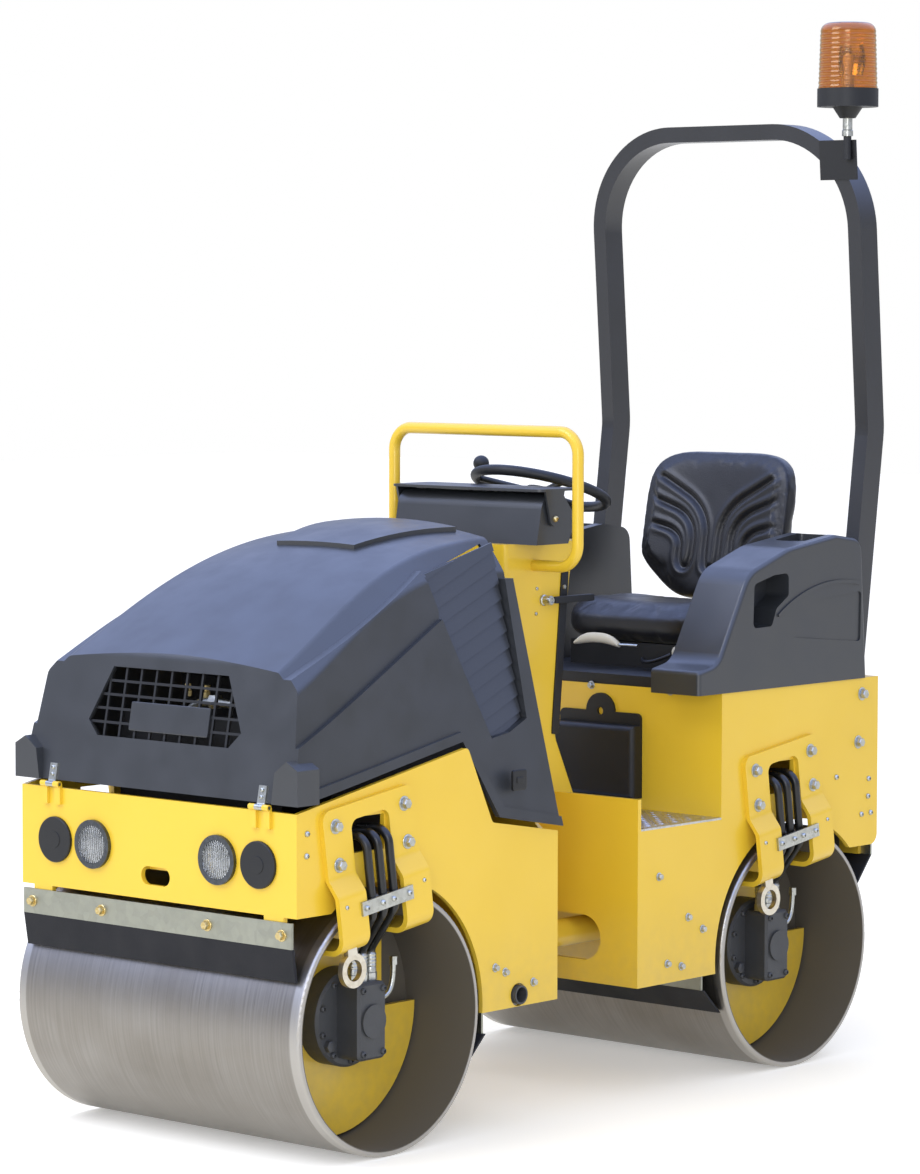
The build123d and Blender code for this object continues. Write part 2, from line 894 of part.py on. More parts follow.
def scraper_bars(axle_y, outer_face, outward):
    """The outer bar on the frame's end and the inner bar on its cross plate."""
    bottom = scraper_bar_top - scraper_bar_height
    inner_face = axle_y - outward * inner_bar_reach
    with BuildPart() as body:
        y0, y1 = sorted((outer_face, outer_face + outward * scraper_bar_thickness))
        block(-scraper_half_length, scraper_half_length, y0, y1, bottom, scraper_bar_top)
        with BuildSketch(Plane.XZ.offset(-y1)) as slots:
            with GridLocations(2 * scraper_half_length - scraper_tab, 0, 2, 1):
                with Locations((0, (bottom + scraper_bar_top) / 2)):
                    SlotOverall(scraper_slot, scraper_slot_height)
        extrude(slots.sketch, amount=y1 - y0, mode=Mode.SUBTRACT)
        y0, y1 = sorted((inner_face, inner_face + outward * scraper_bar_thickness))
        inner_half = front_half_width - plate - moving_gap
        block(-inner_half, inner_half, y0, y1, inner_bar_top - inner_bar_height, inner_bar_top)
    return body.part


def scraper_blades(axle_y, outer_face, outward):
    """The strip below each bar, leaning in to the drum's surface."""
    clear = drum_radius + moving_gap
    reach = sqrt(clear ** 2 - (blade_tip_z - drum_radius) ** 2)
    inner_reach = sqrt(clear ** 2 - (inner_blade_tip_z - drum_radius) ** 2)
    bottom = scraper_bar_top - scraper_bar_height
    tip = axle_y + outward * reach
    root = outer_face + outward * scraper_bar_thickness
    inner_root = axle_y - outward * inner_bar_reach + outward * scraper_bar_thickness
    inner_tip = axle_y - outward * inner_reach
    inner_bottom = inner_bar_top - inner_bar_height
    with BuildPart() as body:
        outer = [
            (root, bottom),
            (root - outward * scraper_blade_thickness, bottom),
            (tip, blade_tip_z),
            (tip + outward * scraper_blade_thickness, blade_tip_z),
        ]
        prism(across(scraper_half_length), outer, 2 * scraper_half_length)
        inner = [
            (inner_root, inner_bottom),
            (inner_root - outward * scraper_blade_thickness, inner_bottom),
            (inner_tip - outward * scraper_blade_thickness, inner_blade_tip_z),
            (inner_tip, inner_blade_tip_z),
        ]
        prism(across(scraper_half_length), inner, 2 * scraper_half_length)
    return body.part


with BuildPart() as front_scraper_bars:
    add(scraper_bars(front_axle_y, panel_y, -1))
front_scraper_bars.part.label = "front_scraper_bars"

with BuildPart() as rear_scraper_bars:
    add(scraper_bars(rear_axle_y, tail_y, 1))
rear_scraper_bars.part.label = "rear_scraper_bars"

with BuildPart() as front_scraper_blades:
    add(scraper_blades(front_axle_y, panel_y, -1))
front_scraper_blades.part.label = "front_scraper_blades"

with BuildPart() as rear_scraper_blades:
    add(scraper_blades(rear_axle_y, tail_y, 1))
rear_scraper_blades.part.label = "rear_scraper_blades"

# Hood: a moulded shell, open below and behind, that tips forward on two hinges.
nose_plane = Plane(
    origin=(0, panel_y, hood_front_bottom), x_dir=(1, 0, 0), z_dir=(0, -nose_rise, hood_nose_lean)
)
grille_outline = [
    (-grille_half_bottom, grille_bottom),
    (-grille_half_top, grille_bottom + grille_corner),
    (-grille_half_top + grille_slant, grille_top),
    (grille_half_top - grille_slant, grille_top),
    (grille_half_top, grille_bottom + grille_corner),
    (grille_half_bottom, grille_bottom),
]
# Raised areas of the hood's sides, seen from the side: the shoulder band, the flare below it
# with the flap and the rear rib, and the rolled lip along the lower edge. Where an outline
# passes the hood's own edge it runs on to the limits of the side view.
side_ahead, side_behind, side_low = 1200, 100, 600
shoulder_band = hood_side(
    (side_ahead, 990), (990, 1085), (518, 1300), (488, 1225), (491, 1190), (1000, 945), (side_ahead, 850)
)
flare = hood_side(
    (side_ahead, 860), (1020, 938), (491, 1190), (366, 910), (300, 920), (234, 947),
    (250, 1270), (side_behind, 1270), (side_behind, side_low), (side_ahead, side_low),
)
lip = hood_side(
    (side_ahead, side_low), (side_ahead, hood_front_bottom),
    (pin_y - panel_y, hood_front_bottom + lip_height), (hood_lip_rear, hood_lip_rear_z + lip_height),
    (hood_flap_front - lip_height, hood_flap_bottom + hood_flap_rise + lip_height),
    (hood_rear_gap, hood_flap_bottom + lip_height), (side_behind, hood_flap_bottom), (side_behind, side_low),
)
louvre_window = hood_side((520, 1285), (262, 1350), (240, 950), (300, 922), (366, 912))
ridge = [
    (-ridge_front_half, pin_y - ridge_front_ahead), (ridge_front_half, pin_y - ridge_front_ahead),
    (ridge_rear_half, pin_y - ridge_rear_ahead), (-ridge_rear_half, pin_y - ridge_rear_ahead),
]


def louvre_blades():
    """Sloping blades that close the left louvre window, each lapping over the one below.

    The blade's profile stands square to the hood's leaning side. Rows of blades run along the
    louvre's slope, from the window's lowest corner up, and are cut to the window.
    """
    low_y, low_z = min(louvre_window, key=lambda corner: corner[1])
    rows = (max(z for _, z in louvre_window) - low_z) / louvre_pitch
    lean = (hood_foot_half - hood_sections[3][1]) / (hood_sections[3][2] - hood_foot_z)
    turn = radians(louvre_angle)
    origin = (hood_foot_half - lean * (low_z - hood_foot_z), low_y, low_z)
    run = Vector(-lean * sin(turn), cos(turn), sin(turn)).normalized()
    out = Vector(1, 0, lean)
    end = Plane(origin=origin, x_dir=out - run * out.dot(run), z_dir=-run)
    with BuildPart() as body:
        for row in range(-3, round(rows) + 1):
            foot = row * louvre_pitch
            head = foot + louvre_pitch + louvre_overlap
            blade = [
                (louvre_proud, foot), (louvre_proud - louvre_blade, foot),
                (-louvre_blade, head), (0, head),
            ]
            prism(end.offset(-louvre_reach), blade, 2 * louvre_reach)
        with BuildSketch(Plane.YZ) as window:
            with BuildLine():
                Polyline(*louvre_window, close=True)
            make_face()
            offset(amount=hood_wall / 2, kind=Kind.INTERSECTION)
        extrude(window.sketch, amount=2 * hood_foot_half, mode=Mode.INTERSECT)
    return body.part


with BuildPart() as hood_shell:
    add(hood_form(0, 0))
    add(hood_region(-band_raise, 0, shoulder_band))
    add(hood_region(-flare_raise, 0, flare))
    add(hood_region(-lip_raise, 0, lip))
    with BuildPart(mode=Mode.PRIVATE) as raised:
        add(hood_form(-ridge_raise, 0))
        prism(Plane.XY.offset(hood_sections[1][-1]), ridge, hood_sections[1][-1], Mode.INTERSECT)
    add(raised.part)
    for side in (-1, 1):
        corner = [(side * x, z) for x, z in cheek_outline]
        prism(Plane.XZ.offset(-panel_y - cheek_behind), corner, cheek_behind + cheek_depth)
    add(hood_form(hood_wall, hood_open_drop), mode=Mode.SUBTRACT)
    add(hood_region(hood_wall - flare_raise, hood_open_drop, flare, 2 * hood_wall), mode=Mode.SUBTRACT)
    prism(across(hood_foot_half), louvre_window, 2 * hood_foot_half, Mode.SUBTRACT)
    blades = louvre_blades()
    add(blades)
    add(mirror(blades, about=Plane.YZ, mode=Mode.PRIVATE))
    prism(nose_plane.offset(-3 * hood_wall), grille_outline, 6 * hood_wall, Mode.SUBTRACT)
hood_shell.part.label = "hood_shell"

with BuildPart() as hood_grille:
    with BuildSketch(nose_plane.offset(-hood_wall - grille_thickness)) as mesh:
        middle = (0, (grille_bottom + grille_top) / 2)
        with Locations(middle):
            with GridLocations(2 * grille_half_top / grille_columns, 0, grille_columns - 1, 1):
                Rectangle(grille_bar, grille_top - grille_bottom)
            with GridLocations(0, (grille_top - grille_bottom) / grille_rows, 1, grille_rows - 1):
                Rectangle(2 * grille_half_top, grille_bar)
        with BuildLine():
            Polyline(*grille_outline, close=True)
        make_face(mode=Mode.INTERSECT)
        with BuildSketch(mode=Mode.PRIVATE) as rim:
            with BuildLine():
                Polyline(*grille_outline, close=True)
            make_face()
            offset(amount=grille_rim)
            with BuildLine():
                Polyline(*grille_outline, close=True)
            make_face(mode=Mode.SUBTRACT)
        add(rim.sketch)
    extrude(mesh.sketch, amount=grille_thickness)
hood_grille.part.label = "hood_grille"

with BuildPart() as hood_hinges:
    for side in (-1, 1):
        x0 = side * hinge_x - hinge_width / 2
        rod((x0, hinge_y, hinge_z), (x0 + hinge_width, hinge_y, hinge_z), hinge_pin)
        inner = hinge_width / 2 - hinge_knuckle - seat_gap
        rod(
            (side * hinge_x - inner, hinge_y, hinge_z), (side * hinge_x + inner, hinge_y, hinge_z),
            hinge_barrel,
        )
        lean = hood_nose_lean / nose_rise
        leaf = [
            (hinge_y, hinge_z),
            (panel_y - hinge_leaf, hood_front_bottom),
            (panel_y + lean * hinge_leaf_height - hinge_leaf, hood_front_bottom + hinge_leaf_height),
            (panel_y + lean * hinge_leaf_height, hood_front_bottom + hinge_leaf_height),
            (panel_y, hood_front_bottom),
        ]
        prism(Plane.YZ.offset(side * hinge_x - inner), leaf, 2 * inner)
hood_hinges.part.label = "hood_hinges"

# Side outline of the roll-over bar's posts, and the room that other pieces leave round them.
foot_y = rear_axle_y + bar_foot_behind
bend_y = rear_axle_y + bar_bend_behind
top_y = rear_axle_y + bar_top_behind
post_x = rear_half_width - plate - bar_width / 2


def post_outline(grow):
    """Bent post seen from the side, grown to the front and rear."""
    half = bar_depth / 2 + grow
    return [
        (foot_y - half, bar_foot_z),
        (bend_y - half, bar_bend_z),
        (top_y - half, bar_top),
        (top_y + half, bar_top),
        (bend_y + half, bar_bend_z),
        (foot_y + half, bar_foot_z),
    ]


# Articulation yoke: upright pin for steering, trunnion for oscillation, and the arm whose
# fork takes the eye of the steering cylinder's rod.
eye_y = pin_y - cylinder_eye_ahead
arm_length = hypot(cylinder_x, cylinder_eye_ahead)
arm_across = (cylinder_eye_ahead / arm_length, cylinder_x / arm_length)
fork_levels = (
    cylinder_z - eye_height / 2 - seat_gap - fork_thickness,
    cylinder_z + eye_height / 2 + seat_gap,
)
with BuildPart() as articulation_yoke:
    half_gap = lug_spacing / 2 - seat_gap
    rod((0, pin_y, hitch_z - half_gap), (0, pin_y, hitch_z + half_gap), lug_half_width)
    rod(
        (0, pin_y, hitch_z - lug_spacing / 2 - lug_thickness),
        (0, pin_y, hitch_z + lug_spacing / 2 + lug_thickness),
        pin_radius,
    )
    rod((0, pin_y, hitch_z), (0, bearing_end_y, hitch_z), trunnion_radius)
    arm = [
        (arm_across[0] * lug_half_width, pin_y + arm_across[1] * lug_half_width),
        (cylinder_x + arm_across[0] * eye_radius, eye_y + arm_across[1] * eye_radius),
        (cylinder_x - arm_across[0] * eye_radius, eye_y - arm_across[1] * eye_radius),
        (-arm_across[0] * lug_half_width, pin_y - arm_across[1] * lug_half_width),
    ]
    for z in fork_levels:
        prism(Plane.XY.offset(z), arm, fork_thickness)
        rod((cylinder_x, eye_y, z), (cylinder_x, eye_y, z + fork_thickness), eye_radius)
        rod((cylinder_x, eye_y, z), (cylinder_x, eye_y, z + fork_thickness), eye_pin_radius, Mode.SUBTRACT)
articulation_yoke.part.label = "articulation_yoke"

# Rear frame: platform box, seat box, side plates with the drum's arch, tail wall.
with BuildPart() as rear_frame:
    rear_side = [
        (platform_y, rear_lower_edge),
        (platform_y, platform_z),
        (seat_wall_y, platform_z),
        (seat_wall_y, seat_deck_z),
        (tail_y, seat_deck_z),
        (tail_y, rear_plate_bottom),
        (rear_axle_y, rear_plate_bottom),
        (rear_axle_y, rear_lower_edge),
    ]
    rear_rounds = [(4, 2 * plate_corner), (5, 2 * plate_corner), (0, plate_corner)]
    both_sides(rear_side, rear_half_width - plate, rear_half_width, rounds=rear_rounds)
    axle_cylinder(rear_axle_y, arch_radius, rear_half_width, Mode.SUBTRACT)
    block(
        -rear_half_width, rear_half_width, platform_y, platform_y + plate,
        rear_lower_edge, toe_board_top,
    )
    block(
        -rear_half_width, rear_half_width, platform_y, seat_wall_y + plate,
        platform_z - plate, platform_z,
    )
    block(
        -rear_half_width, rear_half_width, seat_wall_y, seat_wall_y + plate,
        platform_z - plate, seat_deck_z,
    )
    block(-rear_half_width, rear_half_width, seat_wall_y, tail_y, seat_deck_z - plate, seat_deck_z)
    block(
        -rear_half_width, rear_half_width, tail_y - plate, tail_y,
        tail_wall_bottom, seat_deck_z,
    )
    rear_cross_y = rear_axle_y - inner_bar_reach - plate
    block(
        -rear_half_width, rear_half_width, rear_cross_y, rear_cross_y + plate,
        rear_lower_edge, platform_z,
    )
    for z in (hitch_z - lug_spacing / 2 - lug_thickness, hitch_z + lug_spacing / 2):
        block(-lug_half_width, lug_half_width, pin_y, platform_y + plate, z, z + lug_thickness)
        rod((0, pin_y, z), (0, pin_y, z + lug_thickness), lug_half_width)
    rod(
        (0, pin_y, rear_lower_edge), (0, pin_y, platform_z),
        pin_radius + running_fit, Mode.SUBTRACT,
    )
    for side in (-1, 1):
        with BuildSketch(Plane.XZ.offset(-platform_y - 2 * plate)) as port:
            with Locations((side * wall_port_x, wall_port_z)):
                SlotOverall(wall_port_width, wall_port_height)
        extrude(port.sketch, amount=4 * plate, mode=Mode.SUBTRACT)
        tab_x = side * (scraper_half_length - scraper_tab)
        block(
            tab_x - scraper_tab / 2, tab_x + scraper_tab / 2, tail_y - plate, tail_y,
            scraper_bar_top - scraper_bar_height, tail_wall_bottom,
        )
        window = bracket_point(rear_axle_y, side * rear_half_width, 0, 0)
        with Locations(window):
            Box(4 * plate, hose_port_length, hose_port_height, mode=Mode.SUBTRACT)
    barrel_y = pin_y + cylinder_rear_reach
    for z in fork_levels:
        block(
            cylinder_x - eye_radius, cylinder_x + eye_radius, barrel_y, rear_cross_y + plate,
            z, z + fork_thickness,
        )
        rod((cylinder_x, barrel_y, z), (cylinder_x, barrel_y, z + fork_thickness), eye_radius)
    rod(
        (cylinder_x, barrel_y, cylinder_z - eye_height), (cylinder_x, barrel_y, cylinder_z + eye_height),
        eye_pin_radius - running_fit,
    )
    both_sides(
        post_outline(seat_gap), post_x - bar_width / 2 - seat_gap, post_x + bar_width / 2, Mode.SUBTRACT
    )
rear_frame.part.label = "rear_frame"

# Steering cylinder, straight ahead at rest; its rod's eye lies open in the yoke's fork.
with BuildPart() as cylinder_barrel:
    rod(
        (cylinder_x, barrel_y, cylinder_z - eye_height / 2),
        (cylinder_x, barrel_y, cylinder_z + eye_height / 2), eye_radius,
    )
    rod(
        (cylinder_x, barrel_y, cylinder_z),
        (cylinder_x, barrel_y - eye_radius - 2 * moving_gap, cylinder_z), eye_height / 2,
    )
    rod(
        (cylinder_x, barrel_y - eye_radius - moving_gap, cylinder_z),
        (cylinder_x, barrel_y - barrel_length, cylinder_z), barrel_radius,
    )
    rod(
        (cylinder_x, barrel_y, cylinder_z - eye_height), (cylinder_x, barrel_y, cylinder_z + eye_height),
        eye_pin_radius, Mode.SUBTRACT,
    )
    rod(
        (cylinder_x, barrel_y - barrel_bore_start, cylinder_z),
        (cylinder_x, barrel_y - barrel_length, cylinder_z),
        rod_radius + running_fit, Mode.SUBTRACT,
    )
cylinder_barrel.part.label = "cylinder_barrel"

with BuildPart() as cylinder_rod:
    rod(
        (cylinder_x, eye_y, cylinder_z - eye_height / 2),
        (cylinder_x, eye_y, cylinder_z + eye_height / 2), eye_radius,
    )
    rod((cylinder_x, eye_y, cylinder_z), (cylinder_x, barrel_y - rod_inner_end, cylinder_z), rod_radius)
    rod(
        (cylinder_x, eye_y, cylinder_z - eye_height), (cylinder_x, eye_y, cylinder_z + eye_height),
        eye_pin_radius, Mode.SUBTRACT,
    )
cylinder_rod.part.label = "cylinder_rod"

with BuildPart() as tread_plate:
    block(
        -rear_half_width, rear_half_width, platform_y + plate, seat_wall_y,
        platform_z, platform_z + tread_thickness,
    )
    block(
        -column_half_width - seat_gap, column_half_width + seat_gap,
        platform_y + plate, platform_y + plate + column_foot + seat_gap,
        platform_z, platform_z + tread_thickness, Mode.SUBTRACT,
    )
tread_plate.part.label = "tread_plate"

with BuildPart() as document_box:
    block(
        document_x - document_width / 2, document_x + document_width / 2,
        seat_wall_y - document_depth, seat_wall_y, document_z, document_z + document_pocket,
    )
    fillet(document_box.faces().sort_by(Axis.Y)[0].edges(), radius=document_round)
    with BuildSketch(Plane.XZ.offset(-seat_wall_y)) as back_plate:
        with Locations((document_x, document_z + document_height / 2)):
            RectangleRounded(document_width, document_height, document_round)
        with Locations((document_x, document_z + document_height)):
            Circle(document_tab)
            Circle(document_tab_hole, mode=Mode.SUBTRACT)
    extrude(back_plate.sketch, amount=document_sheet)
document_box.part.label = "document_box"

with BuildPart() as steering_column:
    side = [
        (pin_y + column_front, platform_z + column_step),
        (pin_y + column_front, column_top),
        (pin_y + column_rear_top, column_top),
        (pin_y + column_rear_neck, column_neck_z),
        (pin_y + column_rear_foot, column_waist_z),
        (platform_y + plate + column_foot, platform_z),
        (platform_y + plate, platform_z),
        (platform_y + plate, platform_z + column_step),
    ]
    neck_rounds = [(3, column_neck_round), (4, column_neck_round)]
    prism(across(column_half_width), side, 2 * column_half_width, rounds=neck_rounds)
    upright = [edge for edge in steering_column.edges() if edge.center().Z > column_waist_z]
    upright = [edge for edge in upright if abs(edge.center().X) > column_half_width - 1]
    fillet([edge for edge in upright if edge.center().Z < column_top - 1], radius=column_round)
steering_column.part.label = "steering_column"

with BuildPart() as dashboard:
    dash_side = [
        (pin_y + dash_front, column_top),
        (pin_y + dash_front + dash_lean, dash_top),
        (pin_y + dash_panel_top, dash_top),
        (pin_y + dash_rear, dash_panel_z),
        (pin_y + dash_rear - dash_tuck, column_top),
    ]
    dash_rounds = [(1, dash_front_round), (2, dash_edge_round), (3, dash_edge_round)]
    prism(across(dash_half_width), dash_side, 2 * dash_half_width, rounds=dash_rounds)
    for side in (-1, 1):
        rod(
            (0, pin_y + lid_pivot_y, lid_pivot_z),
            (side * (dash_half_width + lid_gap + lid_thickness), pin_y + lid_pivot_y, lid_pivot_z),
            lid_pin_radius - running_fit,
        )
dashboard.part.label = "dashboard"

with BuildPart() as dash_lid:
    half = dash_half_width + lid_gap
    block(
        -half - lid_thickness, half + lid_thickness, pin_y + dash_front, pin_y + dash_rear,
        dash_top + lid_gap, dash_top + lid_gap + lid_thickness,
    )
    fillet(dash_lid.edges().filter_by(Axis.Z), radius=lid_corner)
    pivot = (pin_y + lid_pivot_y, lid_pivot_z)
    cheek = [
        (pivot[0] - lid_arm, lid_pivot_z), (pivot[0] + lid_arm, lid_pivot_z),
        (pivot[0] + 2 * lid_arm, dash_top + lid_gap + lid_thickness / 2),
        (pivot[0] - 2 * lid_arm, dash_top + lid_gap + lid_thickness / 2),
    ]
    both_sides(cheek, half, half + lid_thickness)
    for side in (-1, 1):
        rod((side * half, *pivot), (side * (half + lid_thickness), *pivot), lid_arm)
    rod(
        (-half - 2 * lid_thickness, *pivot), (half + 2 * lid_thickness, *pivot),
        lid_pin_radius, Mode.SUBTRACT,
    )
dash_lid.part.label = "dash_lid"

with BuildPart() as guard_rail:
    rail = [
        (column_half_width, pin_y + rail_y, rail_foot_z),
        (rail_half_width, pin_y + rail_y, rail_foot_z),
        (rail_half_width, pin_y + rail_y, rail_top),
        (-rail_half_width, pin_y + rail_y, rail_top),
        (-rail_half_width, pin_y + rail_y, rail_foot_z),
        (-column_half_width, pin_y + rail_y, rail_foot_z),
    ]
    tube(rail, rail_bend, rail_radius)
guard_rail.part.label = "guard_rail"

tilt = radians(wheel_tilt)
wheel_axis = (0, sin(tilt), cos(tilt))
wheel_centre = (0, pin_y + wheel_y, wheel_z)
wheel_plane = Plane(origin=wheel_centre, x_dir=(1, 0, 0), z_dir=wheel_axis)


def along_wheel(distance, x=0):
    """A point on the steering shaft, or beside it, at a distance below the wheel."""
    return (x, wheel_centre[1] - distance * wheel_axis[1], wheel_centre[2] - distance * wheel_axis[2])


shaft_end = (wheel_z - column_top) / cos(tilt) - wheel_shaft_radius * sin(tilt) / cos(tilt) - seat_gap
with BuildPart() as steering_wheel:
    with BuildSketch(Plane(origin=wheel_centre, x_dir=(1, 0, 0), z_dir=wheel_plane.y_dir)) as rim:
        with Locations((wheel_radius, 0)):
            Circle(wheel_rim_radius)
    revolve(rim.sketch, Axis(wheel_centre, wheel_axis))
    rod(along_wheel(wheel_hub_height), along_wheel(0), wheel_hub_radius)
    for turn in spoke_turns:
        end = wheel_plane.from_local_coords(
            Vector(wheel_radius * cos(radians(turn)), wheel_radius * sin(radians(turn)), 0)
        )
        rod(along_wheel(spoke_drop), tuple(end), spoke_radius)
    rod(along_wheel(wheel_hub_height), along_wheel(shaft_end), wheel_shaft_radius)
    knob_angle = radians(knob_turn)
    knob_foot = Vector(wheel_radius * cos(knob_angle), wheel_radius * sin(knob_angle), 0)
    knob_tip = knob_foot + Vector(0, 0, knob_height)
    knob_foot = tuple(wheel_plane.from_local_coords(knob_foot))
    knob_tip = tuple(wheel_plane.from_local_coords(knob_tip))
    rod(knob_foot, knob_tip, knob_radius / 2)
    with Locations(knob_tip):
        Sphere(knob_radius)
steering_wheel.part.label = "steering_wheel"

with BuildPart() as seat_base:
    block(
        -seat_base_half_width, seat_base_half_width, seat_wall_y + seat_base_setback,
        rear_axle_y + cushion_rear, seat_deck_z, seat_deck_z + seat_base_height,
    )
    fillet(seat_base.edges().filter_by(Axis.Z), radius=seat_base_round)
    block(
        -pedestal_half_width, pedestal_half_width, rear_axle_y + cushion_front + pedestal_front_gap,
        rear_axle_y + cushion_rear - pedestal_rear_gap, seat_deck_z + seat_base_height, cushion_bottom,
    )
seat_base.part.label = "seat_base"

with BuildPart() as seat_cushion:
    block(
        -seat_half_width, seat_half_width, rear_axle_y + cushion_front, rear_axle_y + cushion_rear,
        cushion_bottom + seat_gap, cushion_top,
    )
    fillet(seat_cushion.edges().filter_by(Axis.Z).group_by(Axis.Y)[0], radius=cushion_corner)
    fillet(seat_cushion.faces().sort_by(Axis.Z)[-1].edges().sort_by(Axis.Y)[:-1], radius=cushion_round)
seat_cushion.part.label = "seat_cushion"

with BuildPart() as seat_back:
    foot = rear_axle_y + cushion_rear + seat_gap
    back = [
        (foot, back_bottom),
        (foot + back_lean, back_top),
        (foot + back_lean + back_thickness, back_top),
        (foot + back_thickness, back_bottom),
    ]
    prism(across(seat_half_width), back, 2 * seat_half_width)
    fillet(seat_back.edges().filter_by(Axis.Y).group_by(Axis.Z)[-1], radius=back_corner)
    fillet(seat_back.faces().sort_by(Axis.Y)[0].edges().sort_by(Axis.Z)[1:], radius=back_round)
seat_back.part.label = "seat_back"


def side_console(side):
    """Moulded console beside the seat: a rising profile with a grab pocket in its flank, a
    sunk blank panel, a curved rib above that and a tray in its top."""
    outer = rear_half_width + fender_overhang

    def flank(points):
        return [(rear_axle_y + behind, fender_bottom + up) for behind, up in points]

    foot = [(rear_axle_y + fender_rear, seat_deck_z), (rear_axle_y - fender_front, seat_deck_z)]
    profile = [foot[1], *flank([(-fender_front, fender_nose), *fender_profile]), foot[0]]
    with BuildPart() as body:
        prism(Plane.YZ.offset(outer - fender_width), profile, fender_width, rounds=fender_bends)
        rim = body.faces().sort_by(Axis.X)[-1].edges().sort_by(Axis.Z)[1:]
        fillet(rim, radius=fender_edge_round)
        for hollow, depth, radius in (
            (fender_pocket, pocket_depth, pocket_round), (fender_panel, panel_depth, panel_round),
        ):
            corners = [(number, radius) for number in range(len(hollow))]
            prism(Plane.YZ.offset(outer - depth), flank(hollow), depth, Mode.SUBTRACT, corners)
        with BuildSketch(Plane.YZ.offset(outer)) as rib:
            with BuildLine(mode=Mode.PRIVATE) as rib_line:
                ThreePointArc(*flank(fender_rib))
            SlotArc(rib_line.edges()[0], rib_width)
        extrude(rib.sketch, amount=rib_height)
        tray_z = fender_bottom + fender_height - tray_depth
        with BuildSketch(Plane.XY.offset(tray_z)) as tray:
            with Locations((outer - fender_width / 2, rear_axle_y + tray_behind)):
                RectangleRounded(tray_width, tray_length, tray_round)
        extrude(tray.sketch, amount=2 * tray_depth, mode=Mode.SUBTRACT)
        gap = post_x - bar_width / 2 - seat_gap
        both_sides(post_outline(seat_gap), gap, gap + bar_width + 2 * seat_gap, Mode.SUBTRACT)
    return body.part if side > 0 else body.part.mirror(Plane.YZ)


with BuildPart() as fender_left:
    add(side_console(1))
fender_left.part.label = "fender_left"

with BuildPart() as fender_right:
    add(side_console(-1))
fender_right.part.label = "fender_right"

# Roll-over bar: one bent tube, its feet inside the side plates.
with BuildPart() as rops_frame:
    bends = [(1, bar_bend_round), (4, bar_bend_round + bar_depth)]
    prism(across(post_x + bar_width / 2), post_outline(0), 2 * post_x + bar_width, rounds=bends)
    with BuildSketch(Plane.XZ.offset(-tail_y - 2 * bar_depth)) as inside:
        with Locations((0, (bar_top + bar_foot_z) / 2 - bar_width)):
            RectangleRounded(2 * post_x - bar_width, bar_top - bar_foot_z, bar_corner - bar_width / 2)
        with Locations((0, bar_foot_z)):
            Rectangle(2 * post_x - bar_width, 2 * bar_corner)
    extrude(inside.sketch, amount=wheelbase / 2, mode=Mode.SUBTRACT)
    top_edges = rops_frame.edges().filter_by(Axis.Y).group_by(Axis.Z)[-1]
    fillet(top_edges, radius=bar_corner + bar_width / 2)
rops_frame.part.label = "rops_frame"


def bar_front(z):
    """The front face of the roll-over bar's upper run, at a height."""
    share = (z - bar_bend_z) / (bar_top - bar_bend_z)
    return bend_y + share * (top_y - bend_y) - bar_depth / 2


beacon_y = bar_front(bracket_high) - bracket_sheet - beacon_stem_radius / 2
with BuildPart() as beacon_base:
    sheet = [
        (bar_front(bracket_low), bracket_low),
        (bar_front(bracket_high), bracket_high),
        (bar_front(bracket_high) - bracket_sheet, bracket_high),
        (bar_front(bracket_low) - bracket_sheet, bracket_low),
    ]
    prism(Plane.YZ.offset(bracket_inner_x), sheet, beacon_x + 2 * beacon_stem_radius - bracket_inner_x)
    rod(
        (beacon_x, beacon_y, (bracket_low + bracket_high) / 2), (beacon_x, beacon_y, beacon_base_z),
        beacon_stem_radius,
    )
    foot_radius = beacon_radius + beacon_base_lip
    with BuildSketch(Plane.XZ.offset(-beacon_y)) as half_base:
        with BuildLine():
            Polyline(
                (beacon_x, beacon_base_z - beacon_neck), (beacon_x + 2 * beacon_stem_radius, beacon_base_z - beacon_neck),
                (beacon_x + foot_radius / 2, beacon_base_z), (beacon_x + foot_radius, beacon_base_z),
                (beacon_x + foot_radius, beacon_base_z + beacon_base_height),
                (beacon_x, beacon_base_z + beacon_base_height), close=True,
            )
        make_face()
    revolve(half_base.sketch, Axis((beacon_x, beacon_y, 0), (0, 0, 1)))
beacon_base.part.label = "beacon_base"

with BuildPart() as beacon_lens:
    lens_z = beacon_base_z + beacon_base_height
    with Locations((beacon_x, beacon_y, lens_z + beacon_lens_height / 2)):
        Cone(beacon_radius, beacon_radius - beacon_taper, beacon_lens_height)
    fillet(beacon_lens.edges().sort_by(Axis.Z)[-1], radius=beacon_dome)
beacon_lens.part.label = "beacon_lens"

pieces = [
    front_drum, rear_drum, front_frame, engine_block, radiator, headlamps, lamp_covers, exhaust_pipe,
    front_drum_supports, rear_drum_supports, front_motors, rear_motors, front_hoses, rear_hoses,
    front_hose_clamps, rear_hose_clamps, front_lashing_rings, rear_lashing_rings,
    front_scraper_bars, rear_scraper_bars, front_scraper_blades, rear_scraper_blades,
    hood_shell, hood_grille, hood_hinges, articulation_yoke, rear_frame, cylinder_barrel, cylinder_rod,
    tread_plate, document_box, steering_column, dashboard, dash_lid, guard_rail, steering_wheel,
    seat_base, seat_cushion, seat_back, fender_left, fender_right, rops_frame, beacon_base, beacon_lens,
]
for piece in pieces:
    export_step(piece.part, f"parts/{piece.part.label}.step")
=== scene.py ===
# %% [markdown]
# # A small road roller, dressed in Blender
# The solid parts of this machine come from CAD and are loaded as a fixed frame: every object
# is in metres, +Z is up, the front faces -Y and the operator's left is +X. This lesson adds
# what CAD leaves out: the finish of each surface, the fasteners, the hose fittings, the lamps
# and the upholstery.

# %% Load the machine
import json
import bmesh
import bpy
import numpy as np
from mathutils import Matrix, Vector


